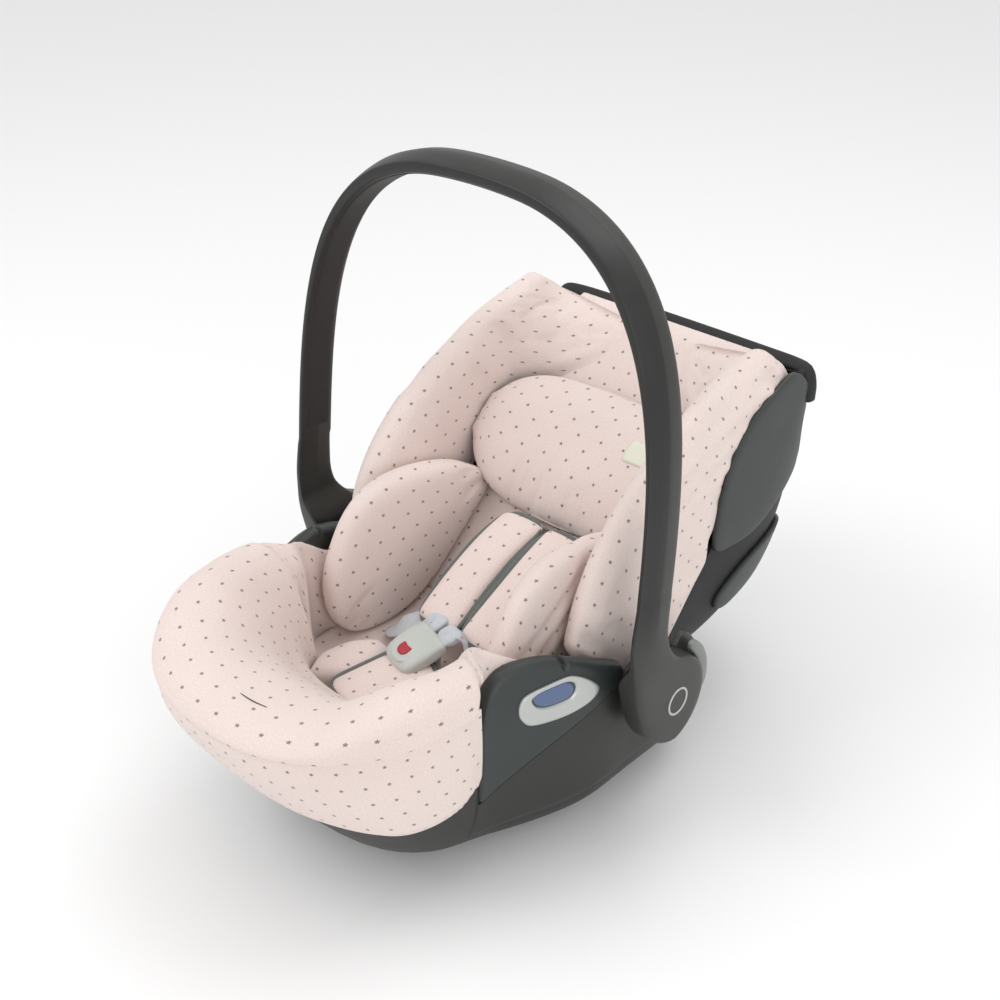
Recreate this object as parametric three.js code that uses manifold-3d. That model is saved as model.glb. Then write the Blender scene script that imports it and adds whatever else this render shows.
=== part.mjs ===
// An infant car seat: a rocker base shell, a reclining back shell, a padded cover, a harness
// and a swinging carry handle. Millimetres, +Z up, foot end towards -Y, the child's left at +X.
// Heights are from the ground. Lengths along Y are from the hull's middle station, and the
// finished group is then moved so that its box is centred on the origin.
import * as THREE from "three";
import { mergeVertices } from "three/addons/utils/BufferGeometryUtils.js";
import Module from "manifold-3d";

const wasm = await Module();
wasm.setup();

// ---- driving dimensions -------------------------------------------------------------------
const FOOT_REACH = 288; // middle station to the toe of the base shell
const TAIL_REACH = 185; // middle station to the tail of the base shell
const TOE_Y = -137; // where the round toe begins
const FOOT_HALF = 140; // half width of the shell there
const TRIM_Y = -128; // where the foot cover ends and the side trims begin
const SIDE_HALF = 174; // half width of the shell beside the handle hubs
const RIM_Z = 195; // rim of the base shell under the foot cover
const SEAM = { low: 92, high: 164 }; // joint between shell and side trim, rising to the hub
const TRIM_END = 14; // where the side trims give way to the ears that carry the hubs
const WALL = 4; // moulded wall of the shells
const COVER = 6; // cover fabric with its backing
const FIT = 0.6; // clearance between neighbouring pieces

const HUB = { y: 43, z: 141, radius: 41, thick: 26 };
const HANDLE = { half: SIDE_HALF + 31, z: 176, rise: 386, lean: 5, width: 38, leg: 10, grip: 18, liner: 4 };

const BACK = { y: 30, z: 100, angle: 42.7, length: 362, half: SIDE_HALF - 21, depth: 178 };
const RECLINE_PIN = 6; // the backrest turns about the hubs' own axis
const PAD = 32; // thickness of the backrest pad
const PAD_HALF = 108; // and its half width
const HEADREST_TRAVEL = 50;

const FOOT_END = -FOOT_REACH;
const seamZ = (y) => THREE.MathUtils.mapLinear(y, TRIM_Y, TRIM_END, SEAM.low, SEAM.high);
const ABOVE = 400; // past the top of everything that is cut
const AROUND = 400; // past the sides of everything that is cut

// ---- small tools ----------------------------------------------------------------------------
const rad = THREE.MathUtils.degToRad;
const lerp = THREE.MathUtils.lerp;
const vec = (x, y, z) => new THREE.Vector3(x, y, z);
const range = (n) => Array.from({ length: n }, (_, i) => i);
const smooth = (a, b, v) => THREE.MathUtils.smoothstep(v, a, b);
const power = (v, e) => Math.sign(v) * Math.abs(v) ** e;

// A curve through a few hand-set [along, height] points, read as height at a place along it.
function profile(points) {
  const curve = new THREE.SplineCurve(points.map(([u, v]) => new THREE.Vector2(u, v)));
  const samples = curve.getPoints(points.length * 12);
  return (u) => {
    if (u <= samples[0].x) return samples[0].y;
    const i = samples.findIndex((p) => p.x >= u);
    if (i < 1) return samples[samples.length - 1].y;
    const [a, b] = [samples[i - 1], samples[i]];
    return lerp(a.y, b.y, (u - a.x) / Math.max(b.x - a.x, 1e-6));
  };
}

// A closed solid through rings of equally many points, with a fan over each end.
function loft(rings) {
  const count = rings[0].length;
  const points = rings.flat();
  const faces = [];
  for (let r = 0; r + 1 < rings.length; r++) {
    for (let i = 0; i < count; i++) {
      const [a, b] = [r * count + i, r * count + ((i + 1) % count)];
      faces.push([a, b, b + count], [a, b + count, a + count]);
    }
  }
  const middle = (ring) => ring.reduce((sum, p) => sum.add(p), vec(0, 0, 0)).divideScalar(count);
  const last = (rings.length - 1) * count;
  points.push(middle(rings[0]), middle(rings[rings.length - 1]));
  for (let i = 0; i < count; i++) {
    const next = (i + 1) % count;
    faces.push([points.length - 2, next, i], [points.length - 1, last + i, last + next]);
  }
  const volume = faces.reduce(
    (sum, [a, b, c]) => sum + points[a].dot(points[b].clone().cross(points[c])), 0);
  if (volume < 0) faces.forEach((f) => f.reverse());
  const geometry = new THREE.BufferGeometry().setFromPoints(points);
  geometry.setIndex(faces.flat());
  return geometry;
}

function solid(geometry) {
  const bare = geometry.clone();
  Object.keys(bare.attributes).forEach((k) => k !== "position" && bare.deleteAttribute(k));
  const merged = mergeVertices(bare, 1e-3);
  return new wasm.Manifold(new wasm.Mesh({
    numProp: 3,
    vertProperties: merged.attributes.position.array,
    triVerts: new Uint32Array(merged.index.array),
  }));
}

function geometryOf(made) {
  const mesh = made.getMesh();
  const geometry = new THREE.BufferGeometry();
  geometry.setAttribute("position", new THREE.BufferAttribute(mesh.vertProperties, 3));
  geometry.setIndex(new THREE.BufferAttribute(mesh.triVerts, 1));
  return geometry;
}

const cut = (a, ...others) => geometryOf(others.reduce((s, b) => s.subtract(solid(b)), solid(a)));
const join = (a, ...others) => geometryOf(others.reduce((s, b) => s.add(solid(b)), solid(a)));
const common = (a, b) => geometryOf(solid(a).intersect(solid(b)));

// The mirror image across the middle plane.
function mirrored(geometry) {
  const made = geometryOf(solid(geometry)).scale(-1, 1, 1);
  const index = made.index.array;
  for (let i = 0; i < index.length; i += 3) {
    [index[i + 1], index[i + 2]] = [index[i + 2], index[i + 1]];
  }
  return made;
}

// A box between two corners.
function block(low, high) {
  const size = vec(...high).sub(vec(...low));
  const centre = vec(...low).add(vec(...high)).divideScalar(2);
  return new THREE.BoxGeometry(size.x, size.y, size.z).translate(...centre.toArray());
}

// An outline of [u, v] points in the Y-Z plane, extruded along X from x0 to x1.
function plate(outline, x0, x1) {
  const shape = new THREE.Shape(outline.map(([u, v]) => new THREE.Vector2(u, v)));
  const made = new THREE.ExtrudeGeometry(shape, { depth: x1 - x0, bevelEnabled: false });
  const turn = new THREE.Matrix4().makeBasis(vec(0, 1, 0), vec(0, 0, 1), vec(1, 0, 0));
  return made.applyMatrix4(turn).translate(x0, 0, 0);
}

// A disc or ring about an axis along X, from x0 to x1, with its outer edges broken by `edge`.
function disc(radius, x0, x1, edge = 0, bore = 0, sides = 40) {
  const half = [[bore, x0], [radius - edge, x0], [radius, x0 + edge],
    [radius, x1 - edge], [radius - edge, x1], [bore, x1]];
  const outline = edge ? half : [half[0], half[1], half[4], half[5]];
  const points = outline.map(([r, x]) => new THREE.Vector2(r, x));
  if (bore) points.push(points[0].clone());
  return new THREE.LatheGeometry(points, sides).rotateZ(-Math.PI / 2);
}

// A smooth outline through [u, v] points.
function rounded(points, closed = true, steps = 24) {
  const curve = new THREE.CatmullRomCurve3(points.map(([u, v]) => vec(u, v, 0)), closed);
  return curve.getSpacedPoints(steps).slice(0, closed ? -1 : undefined).map((p) => [p.x, p.y]);
}

// A ring of points: a rounded box section, `across` by `thick`, about a centre.
function pillow(centre, across, up, width, thick, exponent = 3, sides = 16) {
  return range(sides).map((i) => {
    const a = (2 * Math.PI * (i + 0.5)) / sides;
    return centre.clone()
      .addScaledVector(across, (width / 2) * power(Math.cos(a), 2 / exponent))
      .addScaledVector(up, (thick / 2) * power(Math.sin(a), 2 / exponent));
  });
}

// A flat strap along a curve: `across` is the direction of its width.
function strap(points, across, width, thick, steps = 8, sides = 8) {
  const curve = new THREE.CatmullRomCurve3(points);
  return loft(range(steps + 1).map((i) => {
    const along = curve.getTangentAt(i / steps);
    const up = across.clone().cross(along).normalize();
    const side = along.clone().cross(up).normalize();
    return pillow(curve.getPointAt(i / steps), side, up, width, thick, 5, sides);
  }));
}

const root = new THREE.Group();
const carrier = new THREE.Group();
root.add(carrier);
const back = new THREE.Group();
carrier.add(back);
back.position.set(0, BACK.y, BACK.z);
back.rotation.x = rad(BACK.angle);

const finishes = {
  shell: { color: 0x2f3130, roughness: 0.55, metalness: 0 },
  trim: { color: 0x3f4645, roughness: 0.5, metalness: 0 },
  black: { color: 0x17181a, roughness: 0.75, metalness: 0 },
  silver: { color: 0xb9bcbb, roughness: 0.3, metalness: 0.6 },
  blue: { color: 0x54688f, roughness: 0.25, metalness: 0.1 },
  pink: { color: 0xf0dcd8, roughness: 0.95, metalness: 0 },
  foam: { color: 0xd9d9d6, roughness: 0.9, metalness: 0 },
  webbing: { color: 0xb4b9c4, roughness: 0.8, metalness: 0 },
  buckle: { color: 0xc9cdc8, roughness: 0.45, metalness: 0 },
  red: { color: 0xc0303a, roughness: 0.4, metalness: 0 },
  steel: { color: 0xa5a8aa, roughness: 0.3, metalness: 1 },
  rubber: { color: 0x1b1b1b, roughness: 0.9, metalness: 0 },
};
const materials = Object.fromEntries(
  Object.entries(finishes).map(([k, v]) => [k, new THREE.MeshStandardMaterial(v)]));

function add(name, geometry, finish, parent = carrier) {
  const mesh = new THREE.Mesh(geometry, materials[finish]);
  mesh.name = name;
  parent.add(mesh);
  return mesh;
}

// The same piece on both sides: drawn at +X as the left one and mirrored for the right.
function addPair(name, geometry, finish, parent = carrier) {
  add(name + "_left", geometry, finish, parent);
  add(name + "_right", geometry, finish, parent).scale.x = -1;
}

const BOSS = { radius: 20, inner: SIDE_HALF - 12, outer: SIDE_HALF + 10 };
const hubPlace = (geometry) => geometry.translate(0, HUB.y, HUB.z);
const bossPocket = hubPlace(disc(BOSS.radius + FIT, BOSS.inner - 30, AROUND, 0, 0, 32));

// ---- base shell -------------------------------------------------------------------------------
// Half width of the rim in plan: a blunt round toe, flaring to the hubs, and a round tail.
const TAIL_ROUND = 70;
function rimHalf(y) {
  const blunt = 2.3;
  if (y < TOE_Y) {
    const share = Math.min((TOE_Y - y) / (FOOT_REACH + TOE_Y), 1);
    return FOOT_HALF * (1 - share ** blunt) ** (1 / blunt);
  }
  const tail = Math.min(Math.max(y - (TAIL_REACH - TAIL_ROUND), 0) / TAIL_ROUND, 1);
  const flare = lerp(FOOT_HALF, SIDE_HALF, smooth(TOE_Y, TRIM_END, y));
  return flare * (1 - tail ** 2.6) ** (1 / 2.6);
}

// Height of the keel: a rising bow, a flat middle to stand on, and a short upturned tail.
const KEEL = 6;
const keel = profile([
  [FOOT_END, RIM_Z - 2], [FOOT_END + 16, 158], [FOOT_END + 41, 116], [FOOT_END + 68, 76],
  [FOOT_END + 98, 42], [FOOT_END + 140, 19], [FOOT_END + 190, 9], [-40, KEEL], [40, KEEL],
  [TAIL_REACH - 45, KEEL], [TAIL_REACH - 15, 18], [TAIL_REACH, 44],
]);

// One cross section of the hull grown by `grow`, from rim down to keel and up to the other rim.
const hullShape = (y) => lerp(2.3, 6, smooth(-280, 0, y));
function hullSection(y, grow, top, sides = 12) {
  const inside = THREE.MathUtils.clamp(y, FOOT_END + 1.5, TAIL_REACH - 1.5);
  const half = Math.max(rimHalf(inside) + grow, 2);
  const bottom = Math.min(keel(inside) - grow, RIM_Z - 1);
  const bend = 2 / hullShape(y);
  const lower = range(sides + 1).map((i) => {
    const a = (Math.PI * i) / sides - Math.PI / 2;
    const drop = (RIM_Z - bottom) * Math.abs(Math.cos(a)) ** bend;
    return vec(half * power(Math.sin(a), bend), y, RIM_Z - drop);
  });
  return [...lower, vec(half, y, top), vec(-half, y, top)];
}

// The whole hull as a solid block up to `top`, grown or shrunk by `grow`.
function hull(grow, top) {
  const [from, to] = [FOOT_END + 1.5 - grow, TAIL_REACH - 1.5 + grow];
  const steps = 22;
  const stations = range(steps + 1).map((i) => {
    const t = i / steps;
    return lerp(from, to, 0.5 - 0.5 * Math.cos(Math.PI * t) * (1.0 - 0.12 * Math.sin(Math.PI * t)));
  });
  return loft(stations.map((y) => hullSection(y, grow, top)));
}

const TAIL_RIM = 34;
const EAR = { top: 171, end: 74 }; // the ears rise round the hub bosses
const rimCut = plate([
  [TRIM_Y, SEAM.low], [TRIM_END, SEAM.high], [TRIM_END + 8, EAR.top], [EAR.end - 10, EAR.top],
  [EAR.end, EAR.top - 10], [EAR.end + 12, 140], [EAR.end + 26, 122],
  [TAIL_REACH - 40, 56], [AROUND, TAIL_RIM], [AROUND, ABOVE], [TRIM_Y, ABOVE],
], -AROUND, AROUND);
const crownCut = block([-AROUND, -AROUND, RIM_Z], [AROUND, AROUND, ABOVE]);
const SKID = { x: 92, width: 26, from: -70, to: 138, height: 12 };
const skidSlot = (grow) => [
  [SKID.x - SKID.width / 2 - grow, SKID.from - grow, -1],
  [SKID.x + SKID.width / 2 + grow, SKID.to + grow, SKID.height + grow],
];
const mirrorBox = ([low, high]) => [[-high[0], low[1], low[2]], [-low[0], high[1], high[2]]];

add("base_shell", cut(hull(0, RIM_Z + 20), hull(-WALL, ABOVE), rimCut, crownCut,
  bossPocket, mirrored(bossPocket), block(...skidSlot(FIT)), block(...mirrorBox(skidSlot(FIT)))), "shell");

// Rubber-faced skids that the base stands on.
addPair("base_skid", (() => {
  const [x0, x1] = [SKID.x - SKID.width / 2, SKID.x + SKID.width / 2];
  const nose = 14;
  return plate([[SKID.from + nose, 0], [SKID.to - nose, 0], [SKID.to, 5], [SKID.to, SKID.height],
    [SKID.from, SKID.height], [SKID.from, 5]], x0, x1);
})(), "rubber");

// Energy-absorbing foam in the bottom of the hull.
const FOAM_TOP = 62;
const FOAM_BASE = 40;
const seatFoam = common(hull(-WALL - FIT, ABOVE),
  block([-AROUND, FOOT_END + 70, FOAM_BASE], [AROUND, 20, FOAM_TOP]));
add("seat_foam", seatFoam, "foam");

// ---- side trims, belt guides and hub bosses -----------------------------------------------------
const TRIM_THICK = 15;
const trimTop = profile([
  [TRIM_Y, 158], [TRIM_Y + 3, 171], [TRIM_Y + 9, 185], [TRIM_Y + 20, 202], [TRIM_Y + 35, 211],
  [TRIM_Y + 56, 212], [TRIM_Y + 80, 207], [TRIM_Y + 103, 197], [TRIM_Y + 130, 184], [TRIM_END, 177],
]);
// Outer face of hull and trim at a station and height.
function sideX(y, z) {
  const reach = (RIM_Z - Math.min(z, RIM_Z)) / (RIM_Z - keel(y));
  return rimHalf(y) * (1 - reach ** hullShape(y)) ** (1 / hullShape(y));
}
const trimX = (y, z) => sideX(y, z) - 10 * smooth(155, 236, z);
function trimSection(y) {
  const top = trimTop(y);
  const seam = seamZ(y) + FIT;
  const face = (z) => trimX(y, z);
  const outer = range(5).map((i) => lerp(seam, top - 5, i / 4)).map((z) => vec(face(z), y, z));
  const roll = vec(face(top) - 3, y, top);
  const rollIn = vec(face(top) - TRIM_THICK + 3, y, top);
  const inner = [top - 5, seam].map((z) => vec(face(z) - TRIM_THICK, y, z));
  return [...outer, roll, rollIn, ...inner];
}
const trimStations = [0, 3, 8, 14, 24, 36, 56, 80, 104, 124, 142]
  .map((d) => lerp(TRIM_Y + FIT, TRIM_END - FIT, d / 142));
const GUIDE = { deep: 6 };
const guideShape = (grow) => new wasm.CrossSection([rounded([[-90, 174], [-86, 183],
  [-76, 187], [-46, 190], [-34, 187], [-20, 176], [-15, 167], [-26, 158], [-50, 153], [-78, 155],
  [-88, 164]], true, 36)],
"EvenOdd").offset(grow, "Round", 2, 12).toPolygons()[0];
const inletShape = (grow) => new wasm.CrossSection([rounded([[-77, 180], [-70, 184],
  [-50, 186], [-42, 184], [-36, 176], [-44, 169], [-62, 169], [-72, 173]], true, 30)],
"EvenOdd").offset(grow, "Round", 2, 12).toPolygons()[0];
// A panel that follows the trim's outer face between two depths below it.
function trimSkin(above, below, outline) {
  const rings = trimStations.slice(1).map((y) => {
    const heights = range(7).map((i) => lerp(SEAM.low, 225, i / 6));
    return [...heights.map((z) => vec(trimX(y, z) + above, y, z)),
      ...heights.reverse().map((z) => vec(trimX(y, z) - below, y, z))];
  });
  return common(loft(rings), plate(outline, 100, AROUND));
}
const guidePocket = trimSkin(6, GUIDE.deep, guideShape(FIT));
addPair("side_trim", cut(loft(trimStations.map(trimSection)), guidePocket, bossPocket), "trim");

addPair("belt_guide", cut(trimSkin(1.5, GUIDE.deep - FIT, guideShape(0)),
  plate(inletShape(FIT), 100, AROUND)), "silver");
addPair("belt_guide_inlay", trimSkin(0.2, GUIDE.deep - FIT, inletShape(0)), "blue");

// Fixed boss behind each handle hub, with the spigot that the handle turns on.
const SPIGOT = 11;
addPair("pivot_boss", hubPlace(join(disc(BOSS.radius, BOSS.inner, BOSS.outer, 2, 0, 32),
  disc(SPIGOT, BOSS.outer - 4, BOSS.outer + HUB.thick - 9, 0, 0, 24))), "black");

// ---- carry handle ---------------------------------------------------------------------------------
const lean = rad(HANDLE.lean);
const archNormal = vec(0, Math.cos(lean), -Math.sin(lean));
// The arch's middle line: straight legs into the hubs and a broad crown.
const archLine = new THREE.CatmullRomCurve3(range(33).map((i) => {
  const t = Math.PI * (0.5 - 0.5 * Math.cos((Math.PI * i) / 32));
  const rise = HANDLE.rise * Math.abs(Math.sin(t)) ** (2 / 3.86);
  return vec(HANDLE.half * power(Math.cos(t), 2 / 2.67),
    rise * Math.sin(lean), HANDLE.z + rise * Math.cos(lean));
}));
archLine.arcLengthDivisions = 600;
// The handle's band between two depths measured outwards from its inner face.
function band(fromDepth, toDepth, width, steps = 40) {
  return loft(range(steps + 1).map((i) => {
    const place = archLine.getPointAt(i / steps);
    const out = archLine.getTangentAt(i / steps).cross(archNormal).normalize();
    const crown = smooth(HANDLE.z + HANDLE.rise * 0.45, HANDLE.z + HANDLE.rise * 0.97, place.z);
    const thick = lerp(HANDLE.leg, HANDLE.grip, crown);
    const [a, b] = [fromDepth(thick), toDepth(thick)];
    place.addScaledVector(out, thick / 2 - (a + b) / 2);
    return pillow(place, archNormal, out, width, b - a, 3.4, 12);
  }));
}
const hubDisc = hubPlace(disc(HUB.radius, BOSS.outer + FIT, BOSS.outer + FIT + HUB.thick, 6, 0, 44));
const CAP = { radius: 14, deep: 3 };
const capSeat = (grow) => disc(CAP.radius + grow, BOSS.outer + FIT + HUB.thick - CAP.deep,
  BOSS.outer + HUB.thick + 40, 0, 0, 28).translate(0, HUB.y, HUB.z);
const spigotHole = hubPlace(disc(SPIGOT + FIT / 2, 0, BOSS.outer + HUB.thick - 8, 0, 0, 24));
// Crescent release button on a flange behind the hub; it presses inwards.
const BUTTON = { inner: HUB.radius + 2, outer: HUB.radius + 14, from: -22, to: 54, thick: 8, travel: 4 };
const FLANGE_OUT = BOSS.outer + FIT + 6;
const arc = (radius, from, to, steps) => range(steps + 1).map((i) => {
  const a = rad(lerp(from, to, i / steps));
  return [HUB.y + radius * Math.cos(a), HUB.z + radius * Math.sin(a)];
});
const crescent = (grow, x0, x1) => plate([
  ...arc(BUTTON.outer + grow, BUTTON.from + 7 - grow, BUTTON.to - 7 + grow, 10),
  ...arc(BUTTON.inner - grow, BUTTON.to + grow, BUTTON.from - grow, 8)], x0, x1);
const hubFlange = plate([...arc(BUTTON.outer + 2, BUTTON.from, BUTTON.to, 12),
  ...arc(HUB.radius - 12, BUTTON.to + 10, BUTTON.from - 10, 8)], BOSS.outer + FIT, FLANGE_OUT);
addPair("handle_button", crescent(0, FLANGE_OUT + BUTTON.travel + FIT,
  FLANGE_OUT + BUTTON.travel + FIT + BUTTON.thick), "silver");
// The leg widens into the hub: straight in front, with a fillet behind.
const half = HANDLE.width / 2;
const legFoot = plate([[-half + 6, 262], [-half, 230], [-half + 3, 196], [-half + 9, 164],
  ...arc(HUB.radius, 212, 430, 24), [HUB.y - 6, 190], [HUB.y - 16, 204], [half + 1, 226],
  [half + 5, 262]], HANDLE.half - 5, HANDLE.half + 5.5);
const hubSide = join(hubDisc, hubFlange, legFoot);
const archShell = band((t) => HANDLE.liner, (t) => t, HANDLE.width);
const keepOuter = (side) => cut(archShell,
  hubPlace(disc(HUB.radius + 30, 0, BOSS.outer + FIT, 0, 0, 32)),
  mirrored(hubPlace(disc(HUB.radius + 30, 0, BOSS.outer + FIT, 0, 0, 32))));
const handleShell = cut(join(keepOuter(), hubSide, mirrored(hubSide)),
  capSeat(FIT / 2), mirrored(capSeat(FIT / 2)), spigotHole, mirrored(spigotHole));
add("handle_shell", handleShell, "shell");
const linerRaw = band(() => 0, () => HANDLE.liner - FIT / 2, HANDLE.width - 8);
const footRoom = block([0, -AROUND, 0], [AROUND, AROUND, 264]);
add("handle_liner", cut(linerRaw, footRoom, mirrored(footRoom)), "black");
addPair("hub_cap", disc(CAP.radius, BOSS.outer + FIT + HUB.thick - CAP.deep + FIT / 2,
  BOSS.outer + FIT + HUB.thick + 1, 0, 0, 28).translate(0, HUB.y, HUB.z), "silver");

// ---- soft goods on the base -----------------------------------------------------------------------
// Fabric skirt over the toe of the shell.
const SKIRT_FOOT = 96;
const skirtZone = plate([[-AROUND, SKIRT_FOOT], [TRIM_Y - 34, SKIRT_FOOT],
  [TRIM_Y - 14, SKIRT_FOOT + 5], [TRIM_Y - FIT, SKIRT_FOOT + 22], [TRIM_Y - FIT, RIM_Z - FIT],
  [-AROUND, RIM_Z - FIT]], -AROUND, AROUND);
add("cover_skirt", cut(common(hull(COVER, ABOVE), skirtZone), hull(FIT, ABOVE)), "pink");

// Padded roll round the rim of the toe. A section runs from the outer seam to the inner crease.
const ROLL = { crease: { half: 78, y: -146 }, frontCrest: 216, sideCrest: 236, creaseZ: 132 };
function rollSection(turn) {
  const blunt = 2 / 2.3;
  const outer = vec(FOOT_HALF * power(Math.sin(turn), blunt),
    TOE_Y - (FOOT_REACH + TOE_Y) * Math.abs(Math.cos(turn)) ** blunt, 0);
  const inner = vec(ROLL.crease.half * power(Math.sin(turn), 0.9),
    TOE_Y + 24 - (TOE_Y + 24 - ROLL.crease.y) * Math.abs(Math.cos(turn)) ** 0.9, 0);
  const inward = inner.clone().sub(outer);
  const deep = inward.length();
  inward.normalize();
  const crest = lerp(ROLL.frontCrest, ROLL.sideCrest, smooth(0.2, 0.9, Math.sin(turn) ** 2));
  const point = (d, z) => outer.clone().addScaledVector(inward, d).setZ(z);
  return [point(7, RIM_Z + FIT), point(0, RIM_Z + 2), point(-COVER, RIM_Z + 8),
    point(-COVER - 1, crest - 18), point(2, crest - 5), point(deep * 0.24, crest),
    point(deep * 0.45, crest - 7), point(deep * 0.68, crest - 30), point(deep * 0.88, crest - 62),
    point(deep, ROLL.creaseZ + 8), point(deep, ROLL.creaseZ - 22), point(deep * 0.8, ROLL.creaseZ - 22),
    point(46, RIM_Z - 34)];
}
const rollRings = range(21).map((i) => rollSection(rad(lerp(-88, 88, i / 20))));
add("cover_foot_roll", loft(rollRings), "pink");

// Seat pad over the foam.
const PAD_TOP = 108;
const seatPad = loft([-148, -136, -110, -70, -30, 0, 12].map((y, i, all) => {
  const ends = i === 0 || i === all.length - 1;
  const half = Math.min(72, sideX(y, FOAM_TOP) - WALL - 6);
  return pillow(vec(0, y, (FOAM_TOP + PAD_TOP) / 2 + FIT), vec(1, 0, 0), vec(0, 0, 1),
    2 * half, (PAD_TOP - FOAM_TOP) * (ends ? 0.7 : 1), 4, 16);
}));
add("seat_pad", seatPad, "pink");

// Side bolsters of the seat between foot roll and backrest, inside the trims.
const BOLSTER = { from: TOE_Y + 30, to: -16, inner: 119, least: 8 };
addPair("seat_bolster", loft(range(7).map((i) => {
  const y = lerp(BOLSTER.from, BOLSTER.to, i / 6);
  const wall = sideX(y, 150) - TRIM_THICK - 13;
  const top = lerp(214, 172, smooth(0, 1, i / 6));
  const inner = Math.min(BOLSTER.inner, wall - BOLSTER.least);
  return [vec(wall, y, 135), vec(wall, y, top - 14), vec(lerp(wall, inner, 0.3), y, top - 2),
    vec(lerp(wall, inner, 0.7), y, top - 3), vec(inner, y, top - 24), vec(inner, y, top - 52),
    vec(inner, y, FOAM_TOP + 8), vec(wall, y, FOAM_TOP + 8)];
})), "pink");

// Thigh lobes of the infant insert.
addPair("thigh_lobe", loft([-126, -113, -92, -74, -60].map((y, i) => {
  const swell = [0.35, 0.85, 1, 0.8, 0.35][i];
  return pillow(vec(54, y, PAD_TOP + 1.5 + 15 * swell), vec(1, 0, 0), vec(0, 0, 1),
    34 * swell + 4, 30 * swell, 2.4, 12);
})), "pink");

// ---- harness on the base --------------------------------------------------------------------------
const CROTCH = { half: 33, from: -140, to: -62, thick: 11 };
const crotchPath = [vec(0, CROTCH.from, PAD_TOP + 8), vec(0, -112, PAD_TOP + 11),
  vec(0, -86, PAD_TOP + 16), vec(0, CROTCH.to, PAD_TOP + 20)];
add("crotch_pad", strap(crotchPath, vec(1, 0, 0), 2 * CROTCH.half, CROTCH.thick, 7, 12), "pink");
const buckleFrame = new THREE.Group();
carrier.add(buckleFrame);
buckleFrame.position.set(0, -62, PAD_TOP + 40);
buckleFrame.rotation.x = rad(22);
const BUCKLE = { half: 24, from: -24, to: 22, thick: 17, button: 15 };
const buckleBlock = plate(rounded([[BUCKLE.from, 2 - BUCKLE.thick / 2], [BUCKLE.from, BUCKLE.thick / 2 - 2],
  [0, BUCKLE.thick / 2], [BUCKLE.to, BUCKLE.thick / 2 - 3], [BUCKLE.to, 3 - BUCKLE.thick / 2],
  [0, -BUCKLE.thick / 2]], true, 20), -BUCKLE.half, BUCKLE.half);
const buttonWell = (grow) => block([-BUCKLE.button / 2 - grow, -16 - grow, 1 - grow],
  [BUCKLE.button / 2 + grow, -2 + grow, BUCKLE.thick]);
const slotFor = (x) => block([x - 10, BUCKLE.to - 14, -2.5], [x + 10, BUCKLE.to + 5, 2.5]);
add("buckle_body", cut(buckleBlock, buttonWell(FIT), slotFor(-12), slotFor(12)), "buckle", buckleFrame);
const BUTTON_RISE = BUCKLE.thick / 2 + 1.5;
add("buckle_button", block([-BUCKLE.button / 2, -16, 3.5], [BUCKLE.button / 2, -2, BUTTON_RISE]),
  "red", buckleFrame);
addPair("buckle_tongue", loft([BUCKLE.to - 12, BUCKLE.to + 2, BUCKLE.to + 6, BUCKLE.to + 14]
  .map((y, i) => pillow(vec(12 + i * 1.5, y, i * 0.5), vec(1, 0, 0), vec(0, 0, 1),
    [17, 17, 21, 20][i], [3.6, 3.6, 6, 4.5][i], 5, 8))), "webbing", buckleFrame);
// Crotch strap: from its slot in the seat pad up behind the pad to the buckle.
add("crotch_strap", strap([vec(0, -54, PAD_TOP + 4), vec(0, -40, PAD_TOP + 12),
  vec(0, -33, PAD_TOP + 24), vec(0, -36, PAD_TOP + 31)], vec(1, 0, 0), 25, 2, 6, 8), "webbing");

// Lap straps: from each hip to the buckle tongues.
addPair("lap_strap", strap([vec(72, -14, PAD_TOP + 6), vec(60, -30, PAD_TOP + 13),
  vec(46, -44, PAD_TOP + 21), vec(31, -52, PAD_TOP + 31)], vec(-0.25, 0.93, 0.3), 24, 2, 7, 8),
"webbing");

// Harness length adjuster under the slit in the foot roll, with its press button.
const ADJUSTER = { y: lerp(TOE_Y, FOOT_END, 45 / 151), half: 21, long: 34, thick: 16 };
const adjusterFrame = new THREE.Group();
carrier.add(adjusterFrame);
adjusterFrame.position.set(0, ADJUSTER.y, FOAM_TOP + FIT + ADJUSTER.thick / 2);
add("adjuster_body", cut(
  block([-ADJUSTER.half, -ADJUSTER.long / 2, -ADJUSTER.thick / 2],
    [ADJUSTER.half, ADJUSTER.long / 2, ADJUSTER.thick / 2]),
  block([-13 - FIT, -10 - FIT, -2 - FIT], [13 + FIT, 10 + FIT, ADJUSTER.thick])), "black", adjusterFrame);
add("adjuster_button", block([-13, -10, 1], [13, 10, ADJUSTER.thick / 2 + 3]), "silver", adjusterFrame);

// ---- back shell and its panels --------------------------------------------------------------------
// In the backrest's own frame, Y runs up the back from the seat crease and Z is towards the child.
const BACK_START = 62;
const backDepth = profile([
  [BACK_START, -54], [84, -88], [112, -124], [146, -154], [185, -BACK.depth + 4],
  [222, -BACK.depth + 4], [258, -BACK.depth + 18], [292, -BACK.depth + 46],
  [BACK.length - 42, -98], [BACK.length - 16, -56], [BACK.length, -14],
]);
const BACK_SHAPE = 3.6;
const backTaper = (s) => lerp(1, 0.985, smooth(BACK.length - 60, BACK.length, s));
function backSection(s, grow, top, sides = 12) {
  const along = THREE.MathUtils.clamp(s, BACK_START, BACK.length - 1);
  const depth = backDepth(along) - grow;
  const half = BACK.half * backTaper(along) + grow;
  const lower = range(sides + 1).map((i) => {
    const a = (Math.PI * i) / sides - Math.PI / 2;
    return vec(half * power(Math.sin(a), 2 / BACK_SHAPE), s,
      depth * Math.abs(Math.cos(a)) ** (2 / BACK_SHAPE));
  });
  return [...lower, vec(half, s, top), vec(-half, s, top)];
}
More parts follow.
